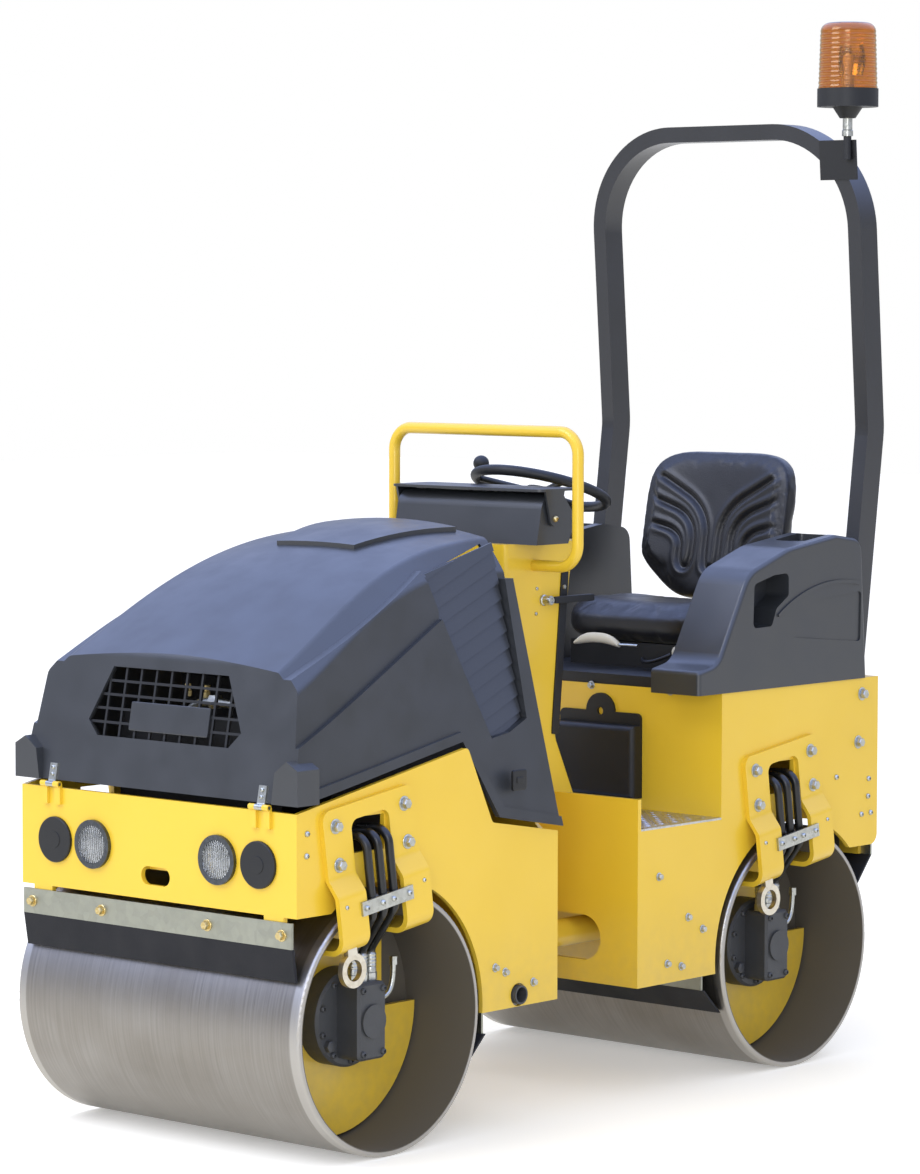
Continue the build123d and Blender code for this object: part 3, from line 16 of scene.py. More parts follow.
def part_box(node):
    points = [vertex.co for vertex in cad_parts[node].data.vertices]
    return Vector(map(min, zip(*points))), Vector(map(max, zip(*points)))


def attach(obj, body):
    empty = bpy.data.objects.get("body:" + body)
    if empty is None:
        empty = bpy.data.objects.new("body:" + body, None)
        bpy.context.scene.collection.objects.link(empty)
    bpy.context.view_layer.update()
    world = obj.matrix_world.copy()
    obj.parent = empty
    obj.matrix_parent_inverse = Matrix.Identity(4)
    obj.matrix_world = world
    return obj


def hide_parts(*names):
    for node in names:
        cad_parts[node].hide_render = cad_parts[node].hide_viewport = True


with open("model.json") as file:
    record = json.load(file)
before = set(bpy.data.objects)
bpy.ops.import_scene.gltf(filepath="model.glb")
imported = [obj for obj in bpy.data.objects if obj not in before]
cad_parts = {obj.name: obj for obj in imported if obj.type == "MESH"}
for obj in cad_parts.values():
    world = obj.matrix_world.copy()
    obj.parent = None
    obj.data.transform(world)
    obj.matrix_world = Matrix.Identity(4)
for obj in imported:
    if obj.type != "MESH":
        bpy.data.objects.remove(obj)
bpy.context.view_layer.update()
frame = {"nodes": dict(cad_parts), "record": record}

# %% [markdown]
# ## The camera
# The picture was taken with a long lens from the front left of the machine, a little above
# the hood. The camera's axes are worked out from a yaw, a pitch and a roll, so its matrix has
# the right, up and backward directions as its columns.

# %% Camera
CAMERA_PLACE = Vector((6.7398, -7.6583, 1.9209))
CAMERA_YAW, CAMERA_PITCH, CAMERA_ROLL = 0.72544, 0.06806, 0.00165
FOCAL_PIXELS = 4200.0
IMAGE_HEIGHT = 1174.0
SHIFT_PIXELS = (3.4, -2.2)
CAMERA_REACH = 100

ahead = Vector((
    -np.sin(CAMERA_YAW) * np.cos(CAMERA_PITCH),
    np.cos(CAMERA_YAW) * np.cos(CAMERA_PITCH),
    -np.sin(CAMERA_PITCH),
))
level = ahead.cross(Vector((0, 0, 1))).normalized()
above = level.cross(ahead)
right = level * np.cos(CAMERA_ROLL) + above * np.sin(CAMERA_ROLL)
up = above * np.cos(CAMERA_ROLL) - level * np.sin(CAMERA_ROLL)
camera_data = bpy.data.cameras.new("camera")
camera = bpy.data.objects.new("camera", camera_data)
bpy.context.scene.collection.objects.link(camera)
turned = Matrix((right, up, -ahead)).transposed().to_4x4()
camera.matrix_world = Matrix.Translation(CAMERA_PLACE) @ turned
camera_data.lens = FOCAL_PIXELS * camera_data.sensor_width / IMAGE_HEIGHT
camera_data.shift_x = SHIFT_PIXELS[0] / IMAGE_HEIGHT
camera_data.shift_y = SHIFT_PIXELS[1] / IMAGE_HEIGHT
camera_data.clip_end = CAMERA_REACH
bpy.context.scene.camera = camera
print("lens", round(camera_data.lens, 1), "mm")

# %% [markdown]
# ## The studio
# The machine stands on a plain pale floor in soft light. A world of even light fills the
# shadows, one large lamp overhead and to the left gives the shapes their shading, and a
# smaller one beside the camera lights the recesses. The floor is white to the camera and in
# reflections, and keeps the soft shadow under the drums. Glossy surfaces see a sky instead of
# the white room: dim at the horizon and blue overhead, as plastic does outdoors.

# %% Node and colour helpers
def add_node(tree, kind, links=None, settings=None, **values):
    """Adds one node: settings are its own options, values its sockets and links its wires."""
    made = tree.nodes.new(kind)
    for name, value in (settings or {}).items():
        setattr(made, name, value)
    for name, value in values.items():
        made.inputs[name.replace("_", " ")].default_value = value
    for name, socket in (links or {}).items():
        tree.links.new(socket, made.inputs[name])
    return made


def linear(hex_colour):
    """An sRGB colour such as "#e9c93f" as linear red, green, blue and alpha."""
    srgb = np.array([int(hex_colour[i:i + 2], 16) for i in (1, 3, 5)]) / 255
    low, high = srgb / 12.92, ((srgb + 0.055) / 1.055) ** 2.4
    return (*np.where(srgb <= 0.04045, low, high), 1.0)


def rays_that_show(tree):
    """The ray kinds, and a socket that is one for camera, mirror and glass rays and else zero."""
    rays = add_node(tree, "ShaderNodeLightPath")
    seen = add_node(tree, "ShaderNodeMath", settings={"operation": "MAXIMUM"},
                    links={0: rays.outputs["Is Camera Ray"], 1: rays.outputs["Is Glossy Ray"]})
    through = add_node(tree, "ShaderNodeMath", settings={"operation": "MAXIMUM"},
                       links={0: seen.outputs[0], 1: rays.outputs["Is Transmission Ray"]})
    return rays, through.outputs[0]


WHITE = linear("#ffffff")
print("mid grey is", round(linear("#808080")[0], 3), "in linear light")

# %% Floor
FLOOR_HALF = 30.0
FLOOR_ROUGHNESS = 0.9
FLOOR_LIFT = 0.30
floor_corners = FLOOR_HALF * np.array([(-1, -1, 0), (1, -1, 0), (1, 1, 0), (-1, 1, 0)])
floor_mesh = bpy.data.meshes.new("floor")
floor_mesh.from_pydata(floor_corners.tolist(), [], [(0, 1, 2, 3)])
floor = bpy.data.objects.new("floor", floor_mesh)
bpy.context.scene.collection.objects.link(floor)
paper = bpy.data.materials.new("studio_paper")
paper.use_nodes = True
tree = paper.node_tree
shade = tree.nodes["Principled BSDF"]
shade.inputs["Base Color"].default_value = linear("#f7f7f7")
shade.inputs["Roughness"].default_value = FLOOR_ROUGHNESS
shade.inputs["Emission Color"].default_value = WHITE
_, shown = rays_that_show(tree)
lift = add_node(tree, "ShaderNodeMath", {0: shown}, {"operation": "MULTIPLY"})
lift.inputs[1].default_value = FLOOR_LIFT
tree.links.new(lift.outputs[0], shade.inputs["Emission Strength"])
floor_mesh.materials.append(paper)
print("floor", 2 * FLOOR_HALF, "m across")

# %% World
FILL_STRENGTH = 0.88
HORIZON = (0.50, 0.51, 0.54, 1.0)
ZENITH = (1.25, 1.60, 2.90, 1.0)
HAZE_TOP, BLUE_FROM = 0.12, 0.75
world = bpy.data.worlds.new("studio")
bpy.context.scene.world = world
world.use_nodes = True
tree = world.node_tree
rays, shown = rays_that_show(tree)
strength = add_node(tree, "ShaderNodeMapRange", {"Value": shown}, To_Min=FILL_STRENGTH, To_Max=1.0)
direction = add_node(tree, "ShaderNodeTexCoord").outputs["Generated"]
height = add_node(tree, "ShaderNodeSeparateXYZ", {"Vector": direction}).outputs["Z"]
overhead = add_node(tree, "ShaderNodeMapRange", {"Value": height},
                    From_Min=HAZE_TOP, From_Max=BLUE_FROM)
sky = add_node(tree, "ShaderNodeMixRGB", {"Fac": overhead.outputs["Result"]},
               Color1=HORIZON, Color2=ZENITH)
mirrored_sky = add_node(tree, "ShaderNodeMixRGB", {
    "Fac": rays.outputs["Is Glossy Ray"], "Color2": sky.outputs["Color"]}, Color1=WHITE)
background = tree.nodes["Background"]
tree.links.new(mirrored_sky.outputs["Color"], background.inputs["Color"])
tree.links.new(strength.outputs["Result"], background.inputs["Strength"])
print("world fills the shadows at", FILL_STRENGTH)


# %% Lamps
def area_lamp(name, place, target, size, watts):
    """A square lamp at a place, turned so that it shines at a target."""
    data = bpy.data.lights.new(name, "AREA")
    data.size, data.energy = size, watts
    lamp = bpy.data.objects.new(name, data)
    lamp.location = place
    lamp.rotation_euler = (Vector(target) - Vector(place)).to_track_quat("-Z", "Y").to_euler()
    bpy.context.scene.collection.objects.link(lamp)


MIDDLE = (0, 0, 0.9)
area_lamp("key", place=(-1.5, -4.0, 5.0), target=MIDDLE, size=3.5, watts=150)
area_lamp("front_left", place=(4.5, -5.5, 2.2), target=MIDDLE, size=2.5, watts=110)
bpy.context.scene.view_settings.view_transform = "Standard"
print("studio with", len(bpy.data.lights), "lamps")

# %% [markdown]
# ## Finishes
# A machine like this has few materials, and each was made in its own way: steel plate with
# a yellow powder coat, moulded slate plastic, rolled and turned steel drums, zinc and chromate
# plating, painted castings, rubber hoses, vinyl and clear plastic. Every finish below is one
# Principled shader whose colour, roughness and bump come from noise at that material's own
# scale. Object coordinates are used, because each piece keeps its place in its mesh.

# %% Start of a finish
def finish(name, colour, roughness, metallic=0.0):
    """A node material with its constant values set: tree, shader and coordinates come with it."""
    material = bpy.data.materials.new(name)
    material.use_nodes = True
    tree = material.node_tree
    shader = tree.nodes["Principled BSDF"]
    shader.inputs["Base Color"].default_value = linear(colour)
    shader.inputs["Roughness"].default_value = roughness
    shader.inputs["Metallic"].default_value = metallic
    place = add_node(tree, "ShaderNodeTexCoord").outputs["Object"]
    return material, tree, shader, place


def mottle(tree, shader, place, low, high, grain, detail=3.0):
    """Cloudy colour between two tones; grain is the size of one cloud in metres."""
    cloud = add_node(tree, "ShaderNodeTexNoise", {"Vector": place}, Scale=1 / grain, Detail=detail)
    tone = add_node(tree, "ShaderNodeMixRGB", {"Fac": cloud.outputs["Fac"]},
                    Color1=linear(low), Color2=linear(high))
    tree.links.new(tone.outputs["Color"], shader.inputs["Base Color"])
    return tone


def rough_between(tree, shader, place, low, high, grain):
    """Roughness that drifts between two values over patches of a size in metres."""
    patch = add_node(tree, "ShaderNodeTexNoise", {"Vector": place}, Scale=1 / grain, Detail=4.0)
    drift = add_node(tree, "ShaderNodeMapRange", {"Value": patch.outputs["Fac"]},
                     From_Min=0.3, From_Max=0.7, To_Min=low, To_Max=high)
    tree.links.new(drift.outputs["Result"], shader.inputs["Roughness"])


def grain_bump(tree, shader, place, size, height, kind="ShaderNodeTexNoise", output="Fac"):
    """A fine relief: size is the distance between grains and height their depth, in metres."""
    grain = add_node(tree, kind, {"Vector": place}, Scale=1 / size)
    bump = add_node(tree, "ShaderNodeBump", {"Height": grain.outputs[output]},
                    Strength=1.0, Distance=height)
    tree.links.new(bump.outputs["Normal"], shader.inputs["Normal"])


# %% [markdown]
# **Powder coat and paint.** Powder coat melts into a smooth skin with a faint orange peel. Its
# ripples are about 2 mm apart on the real machine, too fine for this picture, so they are drawn
# at 5 mm. A little road dust lies on the lowest plates. The roll-over bar has a satin slate coat
# without dust.

# %% Powder coat and paint
COAT_CLOUD, COAT_PATCH = 0.30, 0.12
PEEL, PEEL_DEPTH = 0.005, 0.00006
DUST_FULL_BELOW, DUST_GONE_ABOVE = 0.25, 0.50
DUST_SHARE, DUST_SPECK = 0.45, 0.03


def powder_coat(name, low, high, roughness, dusty):
    """Coloured powder coat on steel plate, with dust near the ground where it is wanted."""
    material, tree, shader, place = finish(name, high, roughness)
    tone = mottle(tree, shader, place, low, high, COAT_CLOUD)
    rough_between(tree, shader, place, roughness - 0.05, roughness + 0.07, COAT_PATCH)
    grain_bump(tree, shader, place, PEEL, PEEL_DEPTH)
    if dusty:
        height = add_node(tree, "ShaderNodeSeparateXYZ", {"Vector": place}).outputs["Z"]
        low_down = add_node(tree, "ShaderNodeMapRange", {"Value": height}, From_Min=DUST_FULL_BELOW,
                            From_Max=DUST_GONE_ABOVE, To_Min=DUST_SHARE, To_Max=0.0)
        specks = add_node(tree, "ShaderNodeTexNoise", {"Vector": place},
                          Scale=1 / DUST_SPECK, Detail=6.0)
        amount = add_node(tree, "ShaderNodeMath", {
            0: low_down.outputs["Result"], 1: specks.outputs["Fac"]}, {"operation": "MULTIPLY"})
        dusted = add_node(tree, "ShaderNodeMixRGB", {
            "Fac": amount.outputs[0], "Color1": tone.outputs["Color"]}, Color2=linear("#a08f62"))
        tree.links.new(dusted.outputs["Color"], shader.inputs["Base Color"])
    shader.inputs["Coat Weight"].default_value = 0.25
    shader.inputs["Coat Roughness"].default_value = 0.12
    return material


yellow_powder_coat = powder_coat("yellow_powder_coat", "#e3bd2e", "#edc93f", 0.34, True)
slate_powder_coat = powder_coat("slate_powder_coat", "#1d1f24", "#25272d", 0.36, False)
print("painted finishes", yellow_powder_coat.name, slate_powder_coat.name)

# %% [markdown]
# **Moulded plastic and vinyl.** The hood and the consoles are moulded in slate plastic with a
# sparked texture, about 1 mm on the real mould and drawn at 2.5 mm here. Small black parts are
# a smoother plastic. The seat is vinyl with a pebble grain of about 3 mm, made of Voronoi
# cells, and a slight sheen where the light grazes it.

# %% Moulded plastic, vinyl and rubber
def moulded_plastic(name, low, high, roughness, grain, depth):
    """Plastic from a textured mould: quiet colour, broken highlights."""
    material, tree, shader, place = finish(name, high, roughness)
    mottle(tree, shader, place, low, high, 0.18, 5.0)
    rough_between(tree, shader, place, roughness - 0.05, roughness + 0.08, 0.09)
    grain_bump(tree, shader, place, grain, depth)
    return material


slate_plastic = moulded_plastic("moulded_slate_abs", "#292c30", "#31343a", 0.34, 0.0025, 0.00010)
slate_plastic.node_tree.nodes["Principled BSDF"].inputs["Specular IOR Level"].default_value = 0.7
black_plastic = moulded_plastic("moulded_black_nylon", "#0e0f10", "#151617", 0.50, 0.0030, 0.00010)
pale_plastic = moulded_plastic("moulded_pale_nylon", "#c9c8c2", "#dad9d3", 0.45, 0.0030, 0.00008)
hose_rubber = moulded_plastic("braided_hose_rubber", "#101112", "#1a1b1d", 0.30, 0.0020, 0.00015)
blade_rubber = moulded_plastic("scraper_rubber", "#0f0f11", "#18181b", 0.80, 0.0040, 0.00025)


def pebbled_vinyl(name):
    """Black seat vinyl: Voronoi pebbles of 3 mm, with a soft sheen."""
    material, tree, shader, place = finish(name, "#15161a", 0.40)
    mottle(tree, shader, place, "#101115", "#1b1c21", 0.10)
    rough_between(tree, shader, place, 0.33, 0.46, 0.05)
    grain_bump(tree, shader, place, 0.0035, 0.00018, "ShaderNodeTexVoronoi", "Distance")
    shader.inputs["Sheen Weight"].default_value = 0.12
    shader.inputs["Sheen Roughness"].default_value = 0.4
    return material


seat_vinyl = pebbled_vinyl("pebbled_seat_vinyl")
print("moulded finishes made")

# %% [markdown]
# **Bare and plated metal.** A drum is rolled from plate and turned on a lathe, then polished by
# the ground: fine streaks run round it, so its noise is stretched along the turn and tight across
# it. Next to each edge is a brighter turned band. Inside, the shell is only coated, dark and
# dull; distance from the axle tells the two apart. Zinc plate has faint spangles, yellow
# chromate is the same with a straw tint, and castings are painted over a coarse skin.

# %% Drum steel
DRUM_RADIUS = 0.300
COATED_WITHIN, BRIGHT_FROM = DRUM_RADIUS - 0.013, DRUM_RADIUS - 0.011
STREAK_WIDTH, STREAK_LENGTH, STAIN = 0.006, 0.35, 0.22
BAND_FROM, BAND_FULL, BAND_SHARE = 0.422, 0.426, 0.45
STREAK_DEPTH = 0.00012
COAT_ROUGHNESS = 0.7
axle_of = {drum: np.mean(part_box(drum), axis=0)[1] for drum in ("front_drum", "rear_drum")}


def turned_drum_steel(name, axle_y):
    """Streaked bright steel on the outside of a drum and a dull coat inside it."""
    material, tree, shader, place = finish(name, "#a09d98", 0.4, 1.0)
    across = add_node(tree, "ShaderNodeSeparateXYZ", {"Vector": place}).outputs["X"]
    from_axle = add_node(tree, "ShaderNodeVectorMath", {0: place}, {"operation": "SUBTRACT"})
    from_axle.inputs[1].default_value = (0, axle_y, DRUM_RADIUS)
    square = add_node(tree, "ShaderNodeVectorMath", {0: from_axle.outputs[0]},
                      {"operation": "MULTIPLY"})
    square.inputs[1].default_value = (0, 1, 1)
    radius = add_node(tree, "ShaderNodeVectorMath", {0: square.outputs[0]}, {"operation": "LENGTH"})
    outside = add_node(tree, "ShaderNodeMapRange", {"Value": radius.outputs["Value"]},
                       From_Min=COATED_WITHIN, From_Max=BRIGHT_FROM).outputs["Result"]
    turned = add_node(tree, "ShaderNodeMapping", {"Vector": place})
    turned.inputs["Scale"].default_value = (1 / STREAK_WIDTH, 1 / STREAK_LENGTH, 1 / STREAK_LENGTH)
    streaks = add_node(tree, "ShaderNodeTexNoise", {"Vector": turned.outputs["Vector"]},
                       Scale=1.0, Detail=6.0, Roughness=0.65)
    stain = add_node(tree, "ShaderNodeTexNoise", {"Vector": place}, Scale=1 / STAIN, Detail=4.0)
    shine = add_node(tree, "ShaderNodeMixRGB", {"Fac": streaks.outputs["Fac"]},
                     Color1=linear("#807c77"), Color2=linear("#b9b6b1"))
    stained = add_node(tree, "ShaderNodeMixRGB", {
        "Fac": stain.outputs["Fac"], "Color1": shine.outputs["Color"]},
        {"blend_type": "MULTIPLY"}, Color2=linear("#c9c4ba"))
    edge = add_node(tree, "ShaderNodeMath", {0: across}, {"operation": "ABSOLUTE"})
    band = add_node(tree, "ShaderNodeMapRange", {"Value": edge.outputs[0]},
                    From_Min=BAND_FROM, From_Max=BAND_FULL, To_Min=0.0, To_Max=BAND_SHARE)
    banded = add_node(tree, "ShaderNodeMixRGB", {
        "Fac": band.outputs["Result"], "Color1": stained.outputs["Color"]}, Color2=linear("#cfccc6"))
    colour = add_node(tree, "ShaderNodeMixRGB", {"Fac": outside, "Color2": banded.outputs["Color"]},
                      Color1=linear("#5a554c"))
    tree.links.new(colour.outputs["Color"], shader.inputs["Base Color"])
    tree.links.new(outside, shader.inputs["Metallic"])
    dull = add_node(tree, "ShaderNodeMapRange", {"Value": streaks.outputs["Fac"]},
                    From_Min=0.3, From_Max=0.7, To_Min=0.36, To_Max=0.52)
    rough = add_node(tree, "ShaderNodeMapRange", {"Value": outside, "To Max": dull.outputs["Result"]},
                     To_Min=COAT_ROUGHNESS)
    tree.links.new(rough.outputs["Result"], shader.inputs["Roughness"])
    bump = add_node(tree, "ShaderNodeBump", {"Height": streaks.outputs["Fac"]},
                    Strength=1.0, Distance=STREAK_DEPTH)
    tree.links.new(bump.outputs["Normal"], shader.inputs["Normal"])
    return material


drum_steel = {drum: turned_drum_steel(f"turned_steel_{drum}", y) for drum, y in axle_of.items()}
print("drum steel for", list(drum_steel))


# %% Plated steel, aluminium and castings
def plated(name, low, high, roughness, spangle):
    """Plated or bare metal with crystal patches of a size in metres."""
    material, tree, shader, place = finish(name, high, roughness, 1.0)
    cells = add_node(tree, "ShaderNodeTexVoronoi", {"Vector": place}, Scale=1 / spangle)
    tone = add_node(tree, "ShaderNodeMixRGB", {"Fac": cells.outputs["Color"]},
                    Color1=linear(low), Color2=linear(high))
    tree.links.new(tone.outputs["Color"], shader.inputs["Base Color"])
    rough_between(tree, shader, place, roughness - 0.07, roughness + 0.10, 0.015)
    return material


def painted_casting(name, low, high, roughness):
    """Dark paint over the sand skin of a casting: grains of about 2 mm, drawn at 4 mm to show."""
    material, tree, shader, place = finish(name, high, roughness)
    mottle(tree, shader, place, low, high, 0.05)
    grain_bump(tree, shader, place, 0.004, 0.0004)
    return material


zinc_plate = plated("zinc_plated_steel", "#a9aaa2", "#c3c4bd", 0.34, 0.008)
galvanised = plated("galvanised_bar", "#9c9d90", "#a6a799", 0.42, 0.020)
chromate_plate = plated("chromate_plated_steel", "#c2a96a", "#d8c692", 0.32, 0.006)
white_chromate = plated("lashing_ring_plate", "#cfc6b2", "#e2dccb", 0.38, 0.010)
tread_aluminium = plated("chequered_aluminium", "#b3b4b2", "#cfd0ce", 0.36, 0.010)
motor_casting = painted_casting("painted_motor_casting", "#383a3d", "#47494d", 0.52)
engine_casting = painted_casting("painted_engine_casting", "#1a1b1d", "#2a2b2e", 0.6)
print("metals made")

# %% [markdown]
# **Clear parts.** The beacon's dome is tinted polycarbonate, and the headlamps have clear,
# fluted lenses over bright reflectors. Both are thin shells, and the dome's tint is in its
# colour. Light crosses two walls of the dome, so that colour is paler than the dome looks.

# %% Clear plastics and reflectors
def clear(name, colour, roughness):
    """Clear or tinted plastic that lets light through."""
    material, tree, shader, place = finish(name, colour, roughness)
    shader.inputs["Transmission Weight"].default_value = 1.0
    shader.inputs["IOR"].default_value = 1.49
    rough_between(tree, shader, place, roughness, roughness + 0.03, 0.03)
    return material


amber_dome = clear("tinted_polycarbonate", "#f2b95c", 0.05)
lamp_lens = clear("clear_polycarbonate", "#fbfcfc", 0.02)
reflector = plated("vacuum_plated_reflector", "#a4a8ac", "#c9ccce", 0.22, 0.006)
lamp_housing = plated("dark_plated_lamp_bowl", "#4a4d51", "#5c5f63", 0.30, 0.006)
# A wave texture of scale one has 20 / 2 pi waves in a metre.
WAVES_PER_SCALE = 3.2


def fluted(material, pitch, depth):
    """Moulds upright flutes into a clear lens: a sine wave across it, pitch and depth in metres."""
    tree = material.node_tree
    place = add_node(tree, "ShaderNodeTexCoord").outputs["Object"]
    flutes = add_node(tree, "ShaderNodeTexWave", {"Vector": place}, {"wave_profile": "SIN"},
                      Scale=1 / (WAVES_PER_SCALE * pitch))
    bump = add_node(tree, "ShaderNodeBump", {"Height": flutes.outputs["Fac"]},
                    Strength=1.0, Distance=depth)
    tree.links.new(bump.outputs["Normal"], tree.nodes["Principled BSDF"].inputs["Normal"])


fluted(lamp_lens, pitch=0.006, depth=0.0012)
print("clear finishes made")

# %% [markdown]
# ## Dressing the solids
# Each CAD node names the kind of material it is made of. One table turns that kind into a
# finish from above, and a second table names the nodes that look different from their kind.

# %% Dress the CAD nodes
finish_of_slot = {
    "yellow_paint": yellow_powder_coat, "slate_paint": slate_powder_coat,
    "slate_plastic": slate_plastic, "black_plastic": black_plastic,
    "black_vinyl": seat_vinyl, "zinc_steel": zinc_plate,
    "chromate_steel": white_chromate, "tread_aluminium": tread_aluminium, "motor_iron": motor_casting,
    "hose_rubber": hose_rubber, "amber_glass": amber_dome, "lamp_glass": reflector,
}
finish_of_node = {
    **drum_steel,
    "front_scraper_blades": blade_rubber, "rear_scraper_blades": blade_rubber,
    "front_scraper_bars": galvanised, "rear_scraper_bars": galvanised,
    "engine_block": engine_casting, "radiator": engine_casting, "headlamps": lamp_housing,
}
for part in frame["record"]["subparts"]:
    node, slot = part["node"], part["material_slot"]
    dressed = frame["nodes"][node]
    dressed.data.materials.clear()
    dressed.data.materials.append(finish_of_node.get(node) or finish_of_slot[slot])

# %% [markdown]
# ## Shapes as arrays
# New pieces are surfaces on a grid of two parameters. Two functions make nearly all of them: a
# lathe turns a profile round an axis, and a pipe carries a round section along a path. Each
# gives its points and faces as arrays, so many small shapes can be joined into one mesh.

# %% Grid and lathe
def grid_faces(rows, columns, closed=True):
    """Quads between neighbours on a grid of points; a closed grid also joins its last column."""
    across = np.arange(columns if closed else columns - 1)
    row, column = np.meshgrid(np.arange(rows - 1), across, indexing="ij")
    beside = (column + 1) % columns
    here, above = row * columns, (row + 1) * columns
    quads = [here + column, here + beside, above + beside, above + column]
    return np.stack(quads, axis=-1).reshape(-1, 4)


def square_axes(axis):
    """Two directions square to an axis and to each other."""
    axis = np.asarray(axis, float) / np.linalg.norm(axis)
    helper = np.array((0.0, 0.0, 1.0)) if abs(axis[2]) < 0.9 else np.array((0.0, 1.0, 0.0))
    first = np.cross(helper, axis)
    first /= np.linalg.norm(first)
    return axis, first, np.cross(axis, first)


def lathe(profile, place, axis, sides=24):
    """Point = place + along * axis + radius * (cos t, sin t) on the two directions square to it.

    A profile row is a radius and a distance along the axis; t goes once round.
    """
    axis, first, second = square_axes(axis)
    turn = np.linspace(0, 2 * np.pi, sides, endpoint=False)
    ring = np.cos(turn)[:, None] * first + np.sin(turn)[:, None] * second
    radius, along = np.asarray(profile, float).T
    points = np.asarray(place) + along[:, None, None] * axis + radius[:, None, None] * ring
    return points.reshape(-1, 3), grid_faces(len(radius), sides)


# %% Pipe and curve
def pipe(path, radius, normal, sides=14):
    """A circle of a radius carried along a path; its plane turns about a fixed normal."""
    path = np.asarray(path, float)
    run = np.gradient(path, axis=0)
    run /= np.linalg.norm(run, axis=1, keepdims=True)
    out = np.cross(run, np.asarray(normal, float))
    out /= np.linalg.norm(out, axis=1, keepdims=True)
    lift = np.cross(out, run)
    turn = np.linspace(0, 2 * np.pi, sides, endpoint=False)[None, :, None]
    ring = np.cos(turn) * out[:, None] + np.sin(turn) * lift[:, None]
    body = path[:, None] + radius * ring
    ends = np.repeat(path[[0, -1]][:, None], sides, axis=1)
    points = np.concatenate([ends[:1], body, ends[1:]])
    return points.reshape(-1, 3), grid_faces(len(path) + 2, sides)


def bezier(corners, steps=24):
    """A smooth curve pulled towards its inner corners: the cubic Bernstein blend of four points."""
    t = np.linspace(0, 1, steps)[:, None]
    a, b, c, d = np.asarray(corners, float)
    return (1 - t) ** 3 * a + 3 * (1 - t) ** 2 * t * b + 3 * (1 - t) * t ** 2 * c + t ** 3 * d


# %% Rounded slab
def rounded_slab(half, place, axes, outline=0.25, edge=0.25, rows=12, columns=40):
    """A superellipsoid: each coordinate is a half size times powers of a sine or cosine.

    Small powers give a block with soft edges, powers of one an ellipsoid. One power is for the
    outline on the first two axes, the other for the edge towards the third.
    """
    rise = np.linspace(-np.pi / 2, np.pi / 2, rows)[:, None]
    turn = np.linspace(0, 2 * np.pi, columns, endpoint=False)[None, :]

    def soft(wave, power):
        return np.sign(wave) * np.abs(wave) ** power

    local = np.stack(np.broadcast_arrays(
        half[0] * soft(np.cos(rise), edge) * soft(np.cos(turn), outline),
        half[1] * soft(np.cos(rise), edge) * soft(np.sin(turn), outline),
        half[2] * soft(np.sin(rise), edge),
    ), axis=-1)
    points = np.asarray(place) + local @ np.asarray(axes, float)
    return points.reshape(-1, 3), grid_faces(rows, columns)


# %% Joined shapes and finished pieces
def join(shapes):
    """Several shapes as one list of points and one list of faces."""
    starts = np.cumsum([0] + [len(points) for points, _ in shapes])
    faces = [quads + start for (_, quads), start in zip(shapes, starts)]
    return np.concatenate([points for points, _ in shapes]), np.concatenate(faces)


def mirrored(shape):
    """The same shape on the other side of the machine, its faces turned to point outwards."""
    points, faces = shape
    return points * (-1, 1, 1), faces[:, ::-1]


def with_mirror(shapes):
    """Shapes of the left side together with their mirror images, joined."""
    return join(shapes + [mirrored(shape) for shape in shapes])


MERGE = 1e-6


def piece(name, shape, body, material, sharp=40):
    """A mesh object made of arrays: poles merged, normals outwards, riding on a body."""
    points, faces = shape
    mesh = bpy.data.meshes.new(name)
    mesh.from_pydata(points.tolist(), [], faces.tolist())
    work = bmesh.new()
    work.from_mesh(mesh)
    bmesh.ops.remove_doubles(work, verts=work.verts, dist=MERGE)
    bmesh.ops.recalc_face_normals(work, faces=work.faces)
    work.to_mesh(mesh)
    work.free()
    mesh.polygons.foreach_set("use_smooth", np.ones(len(mesh.polygons), dtype=bool))
    mesh.set_sharp_from_angle(angle=np.radians(sharp))
    mesh.materials.append(material)
    made = bpy.data.objects.new(name, mesh)
    bpy.context.scene.collection.objects.link(made)
    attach(made, body)
    print(name, len(mesh.polygons), "faces on", body)
    return made


# %% [markdown]
# ## Fasteners
# Hexagon bolts hold the drum brackets, the scrapers and the roll-over bar. A bolt's head is the
# same lathe with six sides, on a turned washer. Small screws are domed, with a sunk socket.
# All the bolts of one body are one piece.

# %% Bolt and screw heads
WASHER = 0.0025


def hex_bolt(place, axis, across=0.021):
    """A six-sided head with a chamfered top on a round washer; across is over the flats."""
    corner, head, rim = across / np.sqrt(3), 0.6 * across, 0.80 * across
    top = WASHER + head
    disc = lathe([(0, 0), (rim, 0), (rim, 0.7 * WASHER), (rim - 0.3 * WASHER, WASHER), (0, WASHER)],
                 place, axis, 24)
    cap = lathe([(corner, WASHER), (corner, top - 0.2 * head), (0.85 * corner, top), (0, top)],
                place, axis, 6)
    return join([disc, cap])


def cap_screw(place, axis, radius=0.006):
    """A domed head with a sunk round socket in the middle; sizes are shares of its radius."""
    profile = radius * np.array([(0.45, 0.35), (0.45, 0.9), (0.7, 0.8), (0.95, 0.4), (1.0, 0)])
    dome = lathe(profile, place, axis, 18)
    socket = lathe(radius * np.array([(0, 0.35), (0.45, 0.35)]), place, axis, 18)
    return join([dome, socket])


# %% Places of the bolts
BRACKET_TILT = np.radians(8)
BRACKET_AHEAD, BRACKET_RISE = 0.065, 0.435
JOGGLE = 0.026


def on_bracket(axle_y, x, along, rise):
    """A place on a drum bracket, from the bracket's middle: across, along its tilt and up it."""
    cos, sin = np.cos(BRACKET_TILT), np.sin(BRACKET_TILT)
    return np.array((x, axle_y - BRACKET_AHEAD + along * cos - rise * sin,
                     DRUM_RADIUS + BRACKET_RISE + along * sin + rise * cos))


